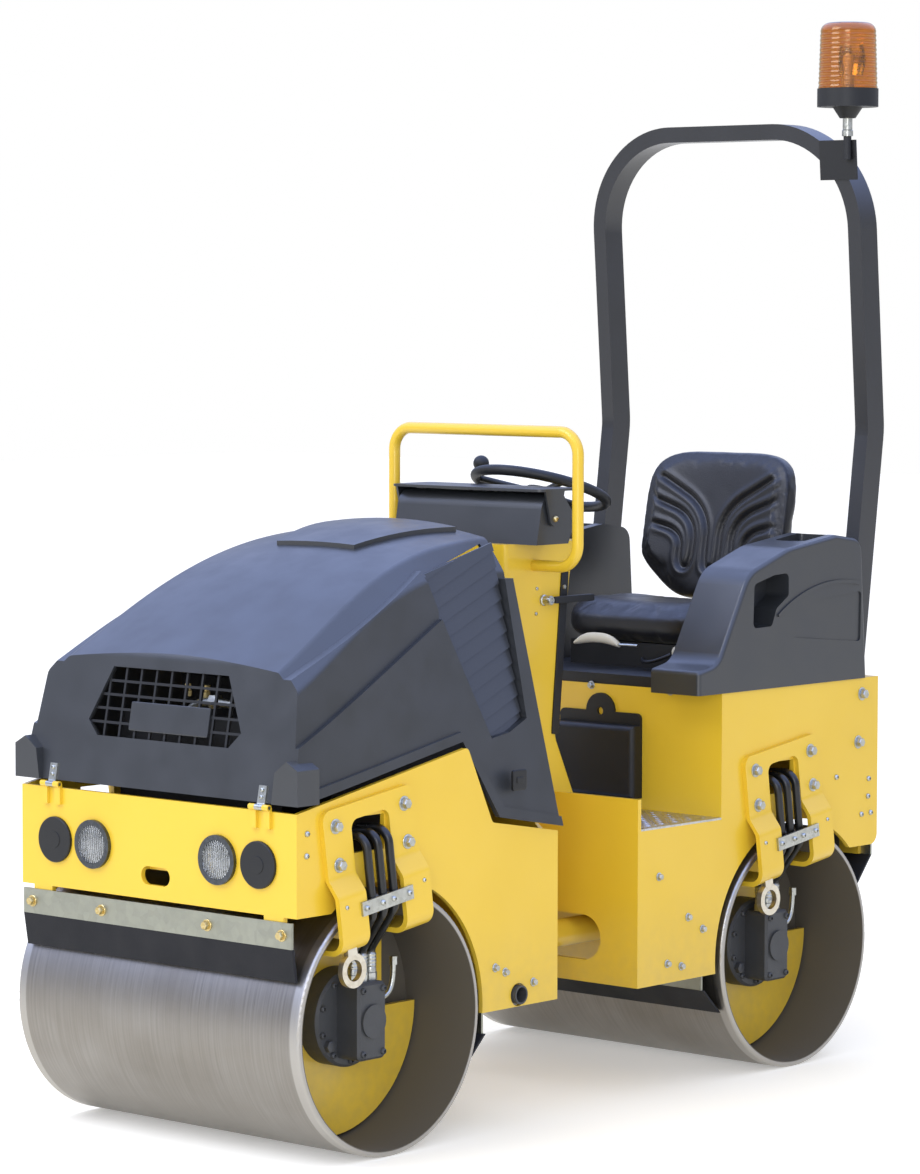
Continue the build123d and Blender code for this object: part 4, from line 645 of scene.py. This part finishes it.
PLATE_BOLT, SCRAPER_BOLT = 0.013, 0.017
PLATE_SCREW, CLAMP_SCREW, LEG_SCREW = 0.007, 0.0065, 0.005
OUT = np.array((1.0, 0.0, 0.0))
FORWARD = np.array((0.0, -1.0, 0.0))
halves = {"front": ("front_drum", "front_frame"), "rear": ("rear_drum", "rear_frame")}
tail_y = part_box("rear_scraper_bars")[1][1]
seat_wall_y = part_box("document_box")[1][1]
side_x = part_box("rear_frame")[1][0]
front_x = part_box("front_frame")[1][0]
bolts = {"front": [], "rear": []}
for end, (drum, _) in halves.items():
    axle_y = axle_of[drum]
    leg_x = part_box(f"{end}_drum_supports")[1][0]
    pad_x = leg_x - JOGGLE
    for along in (-0.112, 0.114):
        for rise in (-0.045, 0.043):
            bolts[end].append(hex_bolt(on_bracket(axle_y, pad_x, along, rise), OUT))
    clamp_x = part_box(f"{end}_hose_clamps")[1][0]
    for along in (-0.070, -0.018, 0.018, 0.070):
        bolts[end].append(cap_screw(on_bracket(axle_y, clamp_x, along, -0.150), OUT, CLAMP_SCREW))
    for along in (-0.128, 0.128):
        bolts[end].append(cap_screw(on_bracket(axle_y, leg_x, along, -0.135), OUT, LEG_SCREW))
for y, z in ((-1.048, 0.703), (-1.046, 0.752)):
    bolts["front"].append(cap_screw((front_x, y, z), OUT, PLATE_SCREW))
for y, z in ((-0.418, 0.382), (-0.383, 0.368), (-0.283, 0.333)):
    bolts["front"].append(hex_bolt((front_x, y, z), OUT, PLATE_BOLT))
for y, z in ((0.990, 0.919), (0.975, 0.797)):
    bolts["rear"].append(hex_bolt((side_x, y, z), OUT))
for y, z in ((0.882, 0.715), (1.020, 0.700), (1.018, 0.655), (1.030, 0.612), (0.990, 0.611)):
    bolts["rear"].append(cap_screw((side_x, y, z), OUT, PLATE_SCREW))
for y, z in ((0.170, 0.534), (0.283, 0.424), (0.340, 0.389), (0.203, 0.319), (0.257, 0.307)):
    bolts["rear"].append(hex_bolt((side_x, y, z), OUT, PLATE_BOLT))
for end in bolts:
    bolts[end] += [mirrored(shape) for shape in bolts[end]]
SEAT_WALL_Z, BAR_Z = 0.955, 0.528
for x in (-0.216, 0.036, 0.288):
    bolts["rear"].append(hex_bolt((x, seat_wall_y, SEAT_WALL_Z), FORWARD, PLATE_BOLT))
bar_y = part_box("front_scraper_bars")[0][1]
scraper_bolts = {"front": [], "rear": []}
for x in (-0.400, -0.170, 0.170, 0.400):
    scraper_bolts["front"].append(hex_bolt((x, bar_y, BAR_Z), FORWARD, SCRAPER_BOLT))
    scraper_bolts["rear"].append(hex_bolt((x, tail_y, BAR_Z), -FORWARD, SCRAPER_BOLT))
print("placed", {end: len(bolts[end]) + len(scraper_bolts[end]) for end in bolts}, "fasteners")

# %% Bolts of each half
for end, (_, body) in halves.items():
    piece(f"{end}_bolts", join(bolts[end]), body, zinc_plate)
    piece(f"{end}_scraper_bolts", join(scraper_bolts[end]), body,
          chromate_plate)

# %% [markdown]
# ## Motors and hose fittings
# Each drum is turned by two hydraulic motors. A ring of screws holds the motor's flange and four
# hold its valve block. Every hose ends in a crimped sleeve, whose rings are in its lathe profile,
# and a hexagon nut on the port. A bent steel drain pipe leaves the block's side.

# %% Motor screws, hose ends, drain pipes
FLANGE_X, BLOCK_X = 0.328, 0.396
PORT_X, PORT_Z = 0.362, 0.388
FLANGE_RING, MOTOR_SCREW = 0.098, 0.008
UP = np.array((0.0, 0.0, 1.0))
plug_profile = [(0, 0), (0.014, 0), (0.014, 0.012), (0.011, 0.014), (0, 0.014)]
nut_profile = [(0, 0), (0.0155, 0), (0.0155, 0.016), (0.0135, 0.018), (0.0105, 0.018)]
sleeve_profile = [(0.0, 0.0), (0.0130, 0.0), (0.0130, 0.010)] + [
    (radius, 0.012 + 0.008 * ring + step) for ring in range(4)
    for radius, step in ((0.0122, 0.0), (0.0136, 0.002), (0.0136, 0.005), (0.0122, 0.007))
] + [(0.0112, 0.046), (0.0102, 0.047)]
for end, (drum, body) in halves.items():
    axle_y = axle_of[drum]
    around = np.linspace(0, 2 * np.pi, 10, endpoint=False) + 0.3
    screws = [
        cap_screw((FLANGE_X, axle_y + y, DRUM_RADIUS + z), OUT, MOTOR_SCREW)
        for y, z in FLANGE_RING * np.stack([np.cos(around), np.sin(around)], axis=1)
    ] + [
        cap_screw((BLOCK_X, axle_y + y, DRUM_RADIUS + z), OUT, MOTOR_SCREW)
        for y in (-0.033, 0.033) for z in (-0.072, 0.072)
    ]
    plug_place = (FLANGE_X, axle_y - 0.075, DRUM_RADIUS - 0.055)
    screws.append(lathe(plug_profile, plug_place, OUT, 6))
    fittings = []
    for along in (-0.0288, 0.0, 0.0288):
        port = np.array((PORT_X, axle_y + along, PORT_Z))
        fittings.append(lathe(nut_profile, port, UP, 6))
        fittings.append(lathe(sleeve_profile, port + 0.018 * UP, UP, 20))
    start = np.array((PORT_X, axle_y + 0.046, DRUM_RADIUS + 0.040))
    drain = bezier([start, start + (0, 0.050, 0), start + (0, 0.060, 0.020), start + (0, 0.060, 0.090)])
    fittings += [
        pipe(drain, 0.006, OUT),
        lathe([(0, 0), (0.0115, 0), (0.0115, 0.016), (0.006, 0.018)], start, -FORWARD, 6),
        lathe([(0.006, 0), (0.0105, 0.001), (0.0105, 0.020), (0, 0.020)],
              drain[-1] - 0.018 * UP, UP, 6),
    ]
    piece(f"{end}_motor_screws", with_mirror(screws), body, motor_casting)
    piece(f"{end}_hose_fittings", with_mirror(fittings), body, zinc_plate)

# %% [markdown]
# ## Headlamps
# Behind a domed clear lens lies a bright dish. The dish is a lathe whose profile is a parabola
# with fine steps, which break the reflection into rings as the fluting of a real lamp does. The
# blind covers beside the lamps get a flat boss in their middle.

# %% Headlamps
LAMP_X, COVER_X, LAMP_Z = 0.200, 0.326, 0.677
lamp_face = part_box("headlamps")[0][1]
cover_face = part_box("lamp_covers")[0][1]
lens_radius = 0.0435
spread = np.linspace(0, 1, 12)
dome = np.stack([lens_radius * spread[::-1], 0.006 * (1 - spread[::-1] ** 2)], axis=1)
lens_profile = np.concatenate([dome[::-1] - (0, 0.0005), dome + (0, 0.0015)])
dish_radius = np.repeat(np.linspace(0.004, lens_radius, 14), 2)[:-1]
dish_depth = np.repeat(np.linspace(0.0, 0.0018, 14), 2)[1:]
dish_steps = np.stack([dish_radius, dish_depth], axis=1)
dish_profile = np.concatenate([[(0, 0.0008)], dish_steps, [(lens_radius, 0.0004), (0, 0.0004)]])
lenses, dishes = [], []
for x in (-LAMP_X, LAMP_X):
    seat_of_lens = np.array((x, lamp_face + 0.004, LAMP_Z))
    lenses.append(lathe(lens_profile, seat_of_lens + 0.0022 * FORWARD, FORWARD, 40))
    dishes.append(lathe(dish_profile, seat_of_lens, FORWARD, 40))
piece("headlamp_lenses", join(lenses), "front_frame", lamp_lens)
piece("headlamp_dishes", join(dishes), "front_frame", reflector)
boss_profile = [(0.0, 0.0), (0.020, 0.0), (0.0195, 0.0012), (0.0, 0.0016)]
bosses = [lathe(boss_profile, (x, cover_face, LAMP_Z), FORWARD, 32) for x in (-COVER_X, COVER_X)]
piece("lamp_cover_bosses", join(bosses), "front_frame", black_plastic)

# %% [markdown]
# ## Beacon
# The dome is a thin tinted shell with rings moulded round it. Inside stands a bulb with a curved
# mirror beside it, and the plated stem under the base has a sleeve.

# %% Beacon
low, high = (np.array(corner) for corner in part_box("beacon_lens"))
beacon_axis = np.array(((low[0] + high[0]) / 2, (low[1] + high[1]) / 2, low[2]))
lens_height, lens_foot = high[2] - low[2], (high[0] - low[0]) / 2
WALL_SHARE, DOME_TAPER, DOME_WALL = 0.86, 0.005, 0.003
RING_COUNT, RING_HEIGHT = 14, 0.0007
rise = np.linspace(0, WALL_SHARE, 60)
wall = lens_foot - DOME_TAPER * rise + RING_HEIGHT * np.sin(2 * np.pi * rise * RING_COUNT)
shoulder = np.linspace(0, np.pi / 2, 10)[1:]
corner = 0.14 * lens_height
dome_radius = np.concatenate([wall, wall[-1] - corner * (1 - np.cos(shoulder)), [0.0]])
dome_height = np.concatenate([
    rise * lens_height, WALL_SHARE * lens_height + corner * np.sin(shoulder), [lens_height]])
outer = np.stack([dome_radius, dome_height], axis=1)
inner = np.stack([
    np.maximum(dome_radius - DOME_WALL, 0), np.minimum(dome_height, lens_height - DOME_WALL)], axis=1)
shell = lathe(np.concatenate([outer[::-1], inner]), beacon_axis, UP, 56)
dome = piece("beacon_dome", shell, "rear_frame", amber_dome)
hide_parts("beacon_lens")

# %% Bulb, mirror and stem
MIRROR_RADIUS, MIRROR_LOW, MIRROR_HIGH = 0.042, 0.035, 0.110
bulb_profile = [(0, 0), (0.016, 0), (0.016, 0.030), (0.011, 0.034), (0.011, 0.050),
                (0.014, 0.066), (0.012, 0.082), (0, 0.090)]
bulb = lathe(bulb_profile, beacon_axis + 0.001 * UP, UP, 24)
turn = np.linspace(-1.2, 1.2, 24)
height = np.linspace(MIRROR_LOW, MIRROR_HIGH, 10)
arc = MIRROR_RADIUS * np.stack([np.sin(turn), np.cos(turn), np.zeros_like(turn)], axis=1)
from_middle = (2 * height - MIRROR_LOW - MIRROR_HIGH) / (MIRROR_HIGH - MIRROR_LOW)
draw_in = (1 - 0.15 * from_middle ** 2)[:, None, None]
bowl = beacon_axis + arc[None] * draw_in + height[:, None, None] * UP
bowl_back = beacon_axis + (bowl - beacon_axis) * (1.06, 1.06, 1.0)
sheet = np.concatenate([bowl, bowl_back[:, ::-1]], axis=1)
mirror_dish = (sheet.reshape(-1, 3), grid_faces(len(height), sheet.shape[1]))
piece("beacon_bulb", bulb, "rear_frame", pale_plastic)
piece("beacon_mirror", mirror_dish, "rear_frame", reflector)
STEM_TOP, STEM_LENGTH = 2.376, 0.045
stem_profile = [(0.0102, 0), (0.0140, 0), (0.0140, 0.014), (0.0122, 0.016),
                (0.0122, STEM_LENGTH), (0.0102, STEM_LENGTH)]
stem = lathe(stem_profile, (beacon_axis[0], beacon_axis[1], STEM_TOP - STEM_LENGTH), UP, 28)
piece("beacon_stem_sleeve", stem, "rear_frame", zinc_plate)
print("beacon dome", round(2 * lens_foot * 1000), "mm across")

# %% [markdown]
# ## Seat
# The cushion and the back are vinyl over foam. Each starts as a superellipsoid that is bent to
# its form: the cushion is dished between raised sides and rolls over at the front, and the back
# narrows to its foot between two wings that come forward. Both are remeshed at 6 mm and filled
# by a cloth simulation with pressure. The pressed channels of the back come last, because a
# remesh would close them.

# %% Stuffing
VOXEL = 0.006
FILL_FRAMES, FILL_PRESSURE = 20, 4.0


def evaluated_mesh(made):
    """The mesh of an object with its modifiers applied."""
    graph = bpy.context.evaluated_depsgraph_get()
    return bpy.data.meshes.new_from_object(made.evaluated_get(graph))


def corners_of(mesh):
    """All the points of a mesh as one array."""
    points = np.empty(3 * len(mesh.vertices))
    mesh.vertices.foreach_get("co", points)
    return points.reshape(-1, 3)


def stuffed(made, reach):
    """Remesh a closed skin, fill it as cloth for some frames and hold each point within a reach."""
    voxel = made.modifiers.new("voxel", "REMESH")
    voxel.mode, voxel.voxel_size, voxel.use_smooth_shade = "VOXEL", VOXEL, True
    made.data = evaluated_mesh(made)
    made.modifiers.clear()
    start = corners_of(made.data)
    cloth = made.modifiers.new("cloth", "CLOTH")
    cloth.settings.use_pressure = True
    cloth.settings.uniform_pressure_force = FILL_PRESSURE
    cloth.settings.effector_weights.gravity = 0
    for step in range(1, FILL_FRAMES + 1):
        bpy.context.scene.frame_set(step)
    move = corners_of(evaluated_mesh(made)) - start
    bpy.context.scene.frame_set(1)
    made.modifiers.clear()
    length = np.linalg.norm(move, axis=1, keepdims=True)
    filled = start + move * np.minimum(1, reach / np.maximum(length, 1e-9))
    made.data.vertices.foreach_set("co", filled.ravel())
    print(made.name, "swelled by", round(1000 * float(length.mean()), 1), "mm on average")
    smooth = made.modifiers.new("smooth", "SUBSURF")
    smooth.levels = smooth.render_levels = 1
    made.data = evaluated_mesh(made)
    made.modifiers.clear()


# %% Channel helpers
def soften(path, times=3):
    """Corner cutting: each step keeps a quarter and three quarters of every straight."""
    path = np.asarray(path, float)
    for _ in range(times):
        near, far = 0.75 * path[:-1] + 0.25 * path[1:], 0.25 * path[:-1] + 0.75 * path[1:]
        cut = np.stack([near, far], axis=1)
        path = np.concatenate([path[:1], cut.reshape(-1, 2), path[-1:]])
    return path


def distance_to(path, spots):
    """Shortest distance from each spot to a broken line in a plane."""
    nearest = np.full(len(spots), np.inf)
    for start, end in zip(path[:-1], path[1:]):
        run = end - start
        share = np.clip((spots - start) @ run / (run @ run), 0, 1)
        nearest = np.minimum(nearest, np.linalg.norm(spots - start - share[:, None] * run, axis=1))
    return nearest


def step_up(value, low, high):
    """Zero below a value, one above another and a smooth S between them."""
    t = np.clip((value - low) / (high - low), 0, 1)
    return t * t * (3 - 2 * t)


# %% Cushion
low, high = (np.array(corner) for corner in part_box("seat_cushion"))
middle, half = (low + high) / 2, (high - low) / 2
points, faces = rounded_slab(half - (0.006, 0.010, 0.008), middle, np.eye(3), 0.36, 0.42, 40, 96)
side, along, up = ((points - middle) / half).T
upper = step_up(up, -0.2, 0.7)
dish = -0.012 * (1 - side ** 2) * (1 - (along - 0.1) ** 2) + 0.010 * np.abs(side) ** 4
roll = -0.022 * step_up(-along, 0.35, 1.0)
points[:, 2] += upper * (dish + roll)
cushion = piece("seat_cushion_pad", (points, faces), "rear_frame", seat_vinyl)
stuffed(cushion, reach=0.009)
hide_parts("seat_cushion")

# %% Back
low, high = (np.array(corner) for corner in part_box("seat_back"))
back_height, back_lean, back_depth = high[2] - low[2], 0.078, 0.090
rise_axis = np.array((0.0, back_lean, back_height)) / np.hypot(back_lean, back_height)
depth_axis = np.array((0.0, rise_axis[2], -rise_axis[1]))
middle = np.array((0.0, low[1] + back_lean / 2 + back_depth / 2, (low[2] + high[2]) / 2))
half_width = (high[0] - low[0]) / 2 + 0.004
local, faces = rounded_slab((half_width, back_height / 2 - 0.006, 0.032), np.zeros(3), np.eye(3),
                            0.46, 0.34, 44, 110)
across, rise, deep = local.T
across = across * (1 - 0.26 * step_up(-rise / back_height, 0.18, 0.50))
wing = np.abs(across / half_width)
deep = deep + 0.016 - 0.032 * wing ** 3 * step_up(rise / back_height, -0.55, -0.20)
points = middle + across[:, None] * OUT + rise[:, None] * rise_axis + deep[:, None] * depth_axis
back = piece("seat_back_pad", (points, faces), "rear_frame", seat_vinyl)
stuffed(back, reach=0.008)

# %% Channels of the back
CHANNEL_DEPTH, CHANNEL_WIDTH = 0.0095, 0.0075
WELT_HEIGHT, WELT_AWAY, WELT_WIDTH = 0.0025, 0.016, 0.008
middle_channel = soften([(0.178, 1.456), (0.021, 1.372), (0.024, 1.222), (0.0, 1.222)])
side_channel = soften([(0.202, 1.402), (0.064, 1.352), (0.064, 1.222), (0.107, 1.222),
                       (0.102, 1.312), (0.214, 1.340)])
points = corners_of(back.data)
spots = np.stack([np.abs(points[:, 0]), points[:, 2]], axis=1)
nearest = np.minimum(distance_to(middle_channel, spots), distance_to(side_channel, spots))
on_front = step_up(-((points - middle) @ depth_axis), -0.010, 0.004)
fade = 1 - step_up(spots[:, 0], 0.165, 0.215)
groove = CHANNEL_DEPTH * np.exp(-(nearest / CHANNEL_WIDTH) ** 2)
welt = WELT_HEIGHT * np.exp(-((nearest - WELT_AWAY) / WELT_WIDTH) ** 2)
points += ((groove - welt) * on_front * fade)[:, None] * depth_axis
back.data.vertices.foreach_set("co", points.ravel())
back.data.update()
print("channels pressed", round(1000 * CHANNEL_DEPTH, 1), "mm deep")
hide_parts("seat_back")

# %% [markdown]
# ## Seat controls
# Under the cushion are a pale lever that unlocks the slide and a ribbed knob for the operator's
# weight, on a thin cable. The lever is a flattened arch; the knob's rings are a sine in its
# lathe profile.

# %% Lever, knob and cable
LEVER_Y, LEVER_Z = 0.560, 1.044
STATIONS, SIDES = 30, 16
arch = np.linspace(-1, 1, STATIONS)
arch_z = LEVER_Z + 0.016 * (1 - np.abs(arch) ** 2.5)
crest = np.stack([-0.068 + 0.072 * arch, np.full(STATIONS, LEVER_Y), arch_z], axis=1)
turn = np.linspace(0, 2 * np.pi, SIDES, endpoint=False)
thick = 0.005 + 0.008 * (1 - np.abs(arch) ** 4)
ring = np.stack([np.zeros(SIDES), 0.009 * np.cos(turn), np.sin(turn)], axis=1)
scale = np.stack([np.ones(STATIONS), np.ones(STATIONS), thick], axis=1)
grip = crest[:, None] + ring[None] * scale[:, None]
ends = np.repeat(crest[[0, -1]][:, None], SIDES, axis=1)
grip = np.concatenate([ends[:1], grip, ends[1:]])
lever = (grip.reshape(-1, 3), grid_faces(STATIONS + 2, SIDES))
KNOB_LENGTH, KNOB_PLACE = 0.062, (0.178, 0.566, 1.036)
knob_steps = np.linspace(0, 1, 60)
ribbed = 0.0125 + 0.0022 * np.cos(8 * np.pi * knob_steps)
rounded_ends = 0.030 * np.sqrt(1 - (2 * knob_steps - 1) ** 2) + 0.004
knob_wall = np.stack([np.minimum(ribbed, rounded_ends), KNOB_LENGTH * knob_steps], axis=1)
knob = lathe(np.concatenate([[(0, 0)], knob_wall, [(0, KNOB_LENGTH)]]), KNOB_PLACE, OUT, 28)
piece("seat_lever_and_knob", join([lever, knob]), "rear_frame", pale_plastic)
rod_path = [(0.000, LEVER_Y, 1.045), (0.030, LEVER_Y, 1.046), (0.064, LEVER_Y, 1.046)]
lever_rod = pipe(rod_path, 0.0035, UP)
piece("seat_lever_rod", lever_rod, "rear_frame", zinc_plate)
CABLE_RADIUS = 0.0045
loop = bezier([(0.060, 0.585, 1.012), (0.070, 0.520, 0.992), (0.140, 0.520, 0.998),
               (0.170, 0.560, 1.030)], 9)
cable = pipe(bezier(loop[[0, 3, 6, 8]]), CABLE_RADIUS, UP)
piece("seat_cable", cable, "rear_frame", black_plastic)

# %% [markdown]
# ## Column and dash
# On the column's left side are a key lock and a flat lever, with a dark seal down its rear edge.
# A domed chromate screw on each cheek is the pivot of the dash lid.

# %% Lock, lever, seal and pivot screws
column_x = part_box("steering_column")[1][0]
lock_place = np.array((column_x, 0.078, 1.192))
lock_profile = [(0, 0), (0.0135, 0), (0.0135, 0.005), (0.0115, 0.007), (0.0115, 0.026),
                (0.0100, 0.028), (0.0060, 0.028), (0.0060, 0.025), (0, 0.025)]
lock = lathe(lock_profile, lock_place, OUT, 28)
rivets = [cap_screw(lock_place + offset, OUT, 0.0045)
          for offset in ((0, -0.024, 0.029), (0, -0.027, -0.032))]
rivets.append(hex_bolt((column_x, 0.150, 1.221), OUT, 0.010))
piece("column_lock", join([lock, *rivets]), "rear_frame", zinc_plate)
lever_arm = rounded_slab((0.005, 0.074, 0.0085), lock_place + (0.022, 0.090, 0.0), np.eye(3),
                         0.15, 0.15)
seal_top, seal_foot = np.array((column_x, 0.158, 1.262)), np.array((column_x, 0.122, 0.862))
seal_length = np.linalg.norm(seal_top - seal_foot)
seal_run = (seal_top - seal_foot) / seal_length
seal = rounded_slab((0.004, 0.013, seal_length / 2), (seal_top + seal_foot) / 2,
                    [OUT, np.cross(seal_run, OUT), seal_run], 0.12, 0.12)
piece("column_lever_and_seal", join([lever_arm, seal]), "rear_frame", black_plastic)
LID_PIVOT = (0.0245, 1.394)
pivot = cap_screw((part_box("dash_lid")[1][0], *LID_PIVOT), OUT, 0.008)
piece("lid_pivot_screws", with_mirror([pivot]), "dash_lid", chromate_plate)
print("column fittings placed")

# %% [markdown]
# ## Tread plate
# The platform is chequered aluminium. Each raised lozenge is a stretched ring of eight points that
# closes to a ridge, and it turns a quarter from one place of the grid to the next. The field
# stops short of the column's foot.

# %% Lozenges
TREAD_PITCH, LOZENGE = 0.026, (0.0115, 0.0034, 0.0016)
FOOT_MARGIN, FOOT_BACK_Y = 0.012, 0.245
low, high = (np.array(corner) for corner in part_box("tread_plate"))
foot_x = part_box("steering_column")[1][0]
columns = np.arange(low[0] + TREAD_PITCH / 2, high[0] - TREAD_PITCH / 2, TREAD_PITCH)
rows = np.arange(low[1] + TREAD_PITCH / 2, high[1] - TREAD_PITCH / 2, TREAD_PITCH)
column, row = (grid.ravel() for grid in np.meshgrid(columns, rows))
place = np.arange(len(column))
odd = (place // len(columns) + place % len(columns)) % 2
clear_of_foot = (np.abs(column) > foot_x + FOOT_MARGIN) | (row > FOOT_BACK_Y)
column, row, odd = column[clear_of_foot], row[clear_of_foot], odd[clear_of_foot]
turn = np.linspace(0, 2 * np.pi, 8, endpoint=False)
share, level = np.array((1.0, 0.55, 0.0)), np.array((0.0, 0.85, 1.0))
long_way = LOZENGE[0] * share[:, None] * np.cos(turn)
short_way = LOZENGE[1] * share[:, None] * np.sin(turn)
heading = np.where(odd, 0.25, -0.25) * np.pi
cos, sin = np.cos(heading)[:, None, None], np.sin(heading)[:, None, None]
field = np.stack([
    column[:, None, None] + long_way * cos - short_way * sin,
    row[:, None, None] + long_way * sin + short_way * cos,
    np.broadcast_to(high[2] + LOZENGE[2] * level[:, None], (len(column), 3, 8)),
], axis=-1)
faces = grid_faces(3, 8)[None] + 3 * 8 * np.arange(len(column))[:, None, None]
lozenges = (field.reshape(-1, 3), faces.reshape(-1, 4))
piece("tread_lozenges", lozenges, "rear_frame", tread_aluminium, sharp=25)

# %% [markdown]
# ## Hood fittings
# A square catch sits in each side flap of the hood, and the two hinge leaves at the nose are
# screwed on. A bare plate is fixed over the grille. Behind the grille a bent pipe and two unions
# catch the light.

# %% Catches, hinge screws and grille plate
CATCH_PLACE = np.array((0.4545, -0.352, 0.813))
catch = [rounded_slab((0.004, 0.024, 0.024), CATCH_PLACE, np.eye(3), 0.2, 0.2),
         rounded_slab((0.003, 0.012, 0.007), CATCH_PLACE + 0.003 * OUT, np.eye(3), 0.2, 0.2)]
piece("hood_catches", with_mirror(catch), "hood", black_plastic)
HINGE_X, LEAF_THICKNESS = 0.335, 0.004
NOSE_FOOT, NOSE_LEAN = np.array((0.0, -1.0785, 0.815)), 0.189
nose_up = np.array((0.0, NOSE_LEAN, 1.0)) / np.hypot(NOSE_LEAN, 1.0)
nose_out = np.array((0.0, -nose_up[2], nose_up[1]))
leaf_face = NOSE_FOOT + LEAF_THICKNESS * nose_out
screws = [cap_screw(leaf_face + side * HINGE_X * OUT + rise * nose_up, nose_out, 0.005)
          for side in (-1, 1) for rise in (0.012, 0.028)]
piece("hinge_screws", join(screws), "hood", zinc_plate)
plate_place = NOSE_FOOT + 0.013 * OUT + 0.163 * nose_up - 0.0035 * nose_out
grille_plate = rounded_slab((0.126, 0.033, 0.0025), plate_place, [OUT, nose_up, nose_out], 0.06, 0.15)
piece("grille_plate", grille_plate, "hood", slate_plastic)
print("hood fittings placed")

# %% Pipe and unions behind the grille
radiator_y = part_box("radiator")[0][1]
pipe_y = radiator_y - 0.022
bent = bezier([(-0.020, pipe_y, 0.955), (0.030, pipe_y, 1.020), (0.060, pipe_y, 1.018),
               (0.150, pipe_y, 1.012)])
hose_nut = lathe([(0, 0), (0.017, 0), (0.017, 0.022), (0, 0.022)], (0.085, pipe_y, 1.0155), OUT, 6)
coolant_pipe = join([pipe(bent, 0.010, FORWARD), hose_nut])
piece("coolant_pipe", coolant_pipe, "front_frame", zinc_plate)
union_profile = [(0, 0), (0.009, 0), (0.009, 0.012), (0.006, 0.014),
                 (0.006, 0.022), (0.008, 0.023), (0.008, 0.028), (0, 0.028)]
unions = [lathe(union_profile, (x, radiator_y - 0.012, 1.022), UP, 6) for x in (0.000, 0.060)]
piece("brass_unions", join(unions), "front_frame", chromate_plate)
print("pipe stands", round(1000 * (radiator_y - pipe_y)), "mm ahead of the radiator")
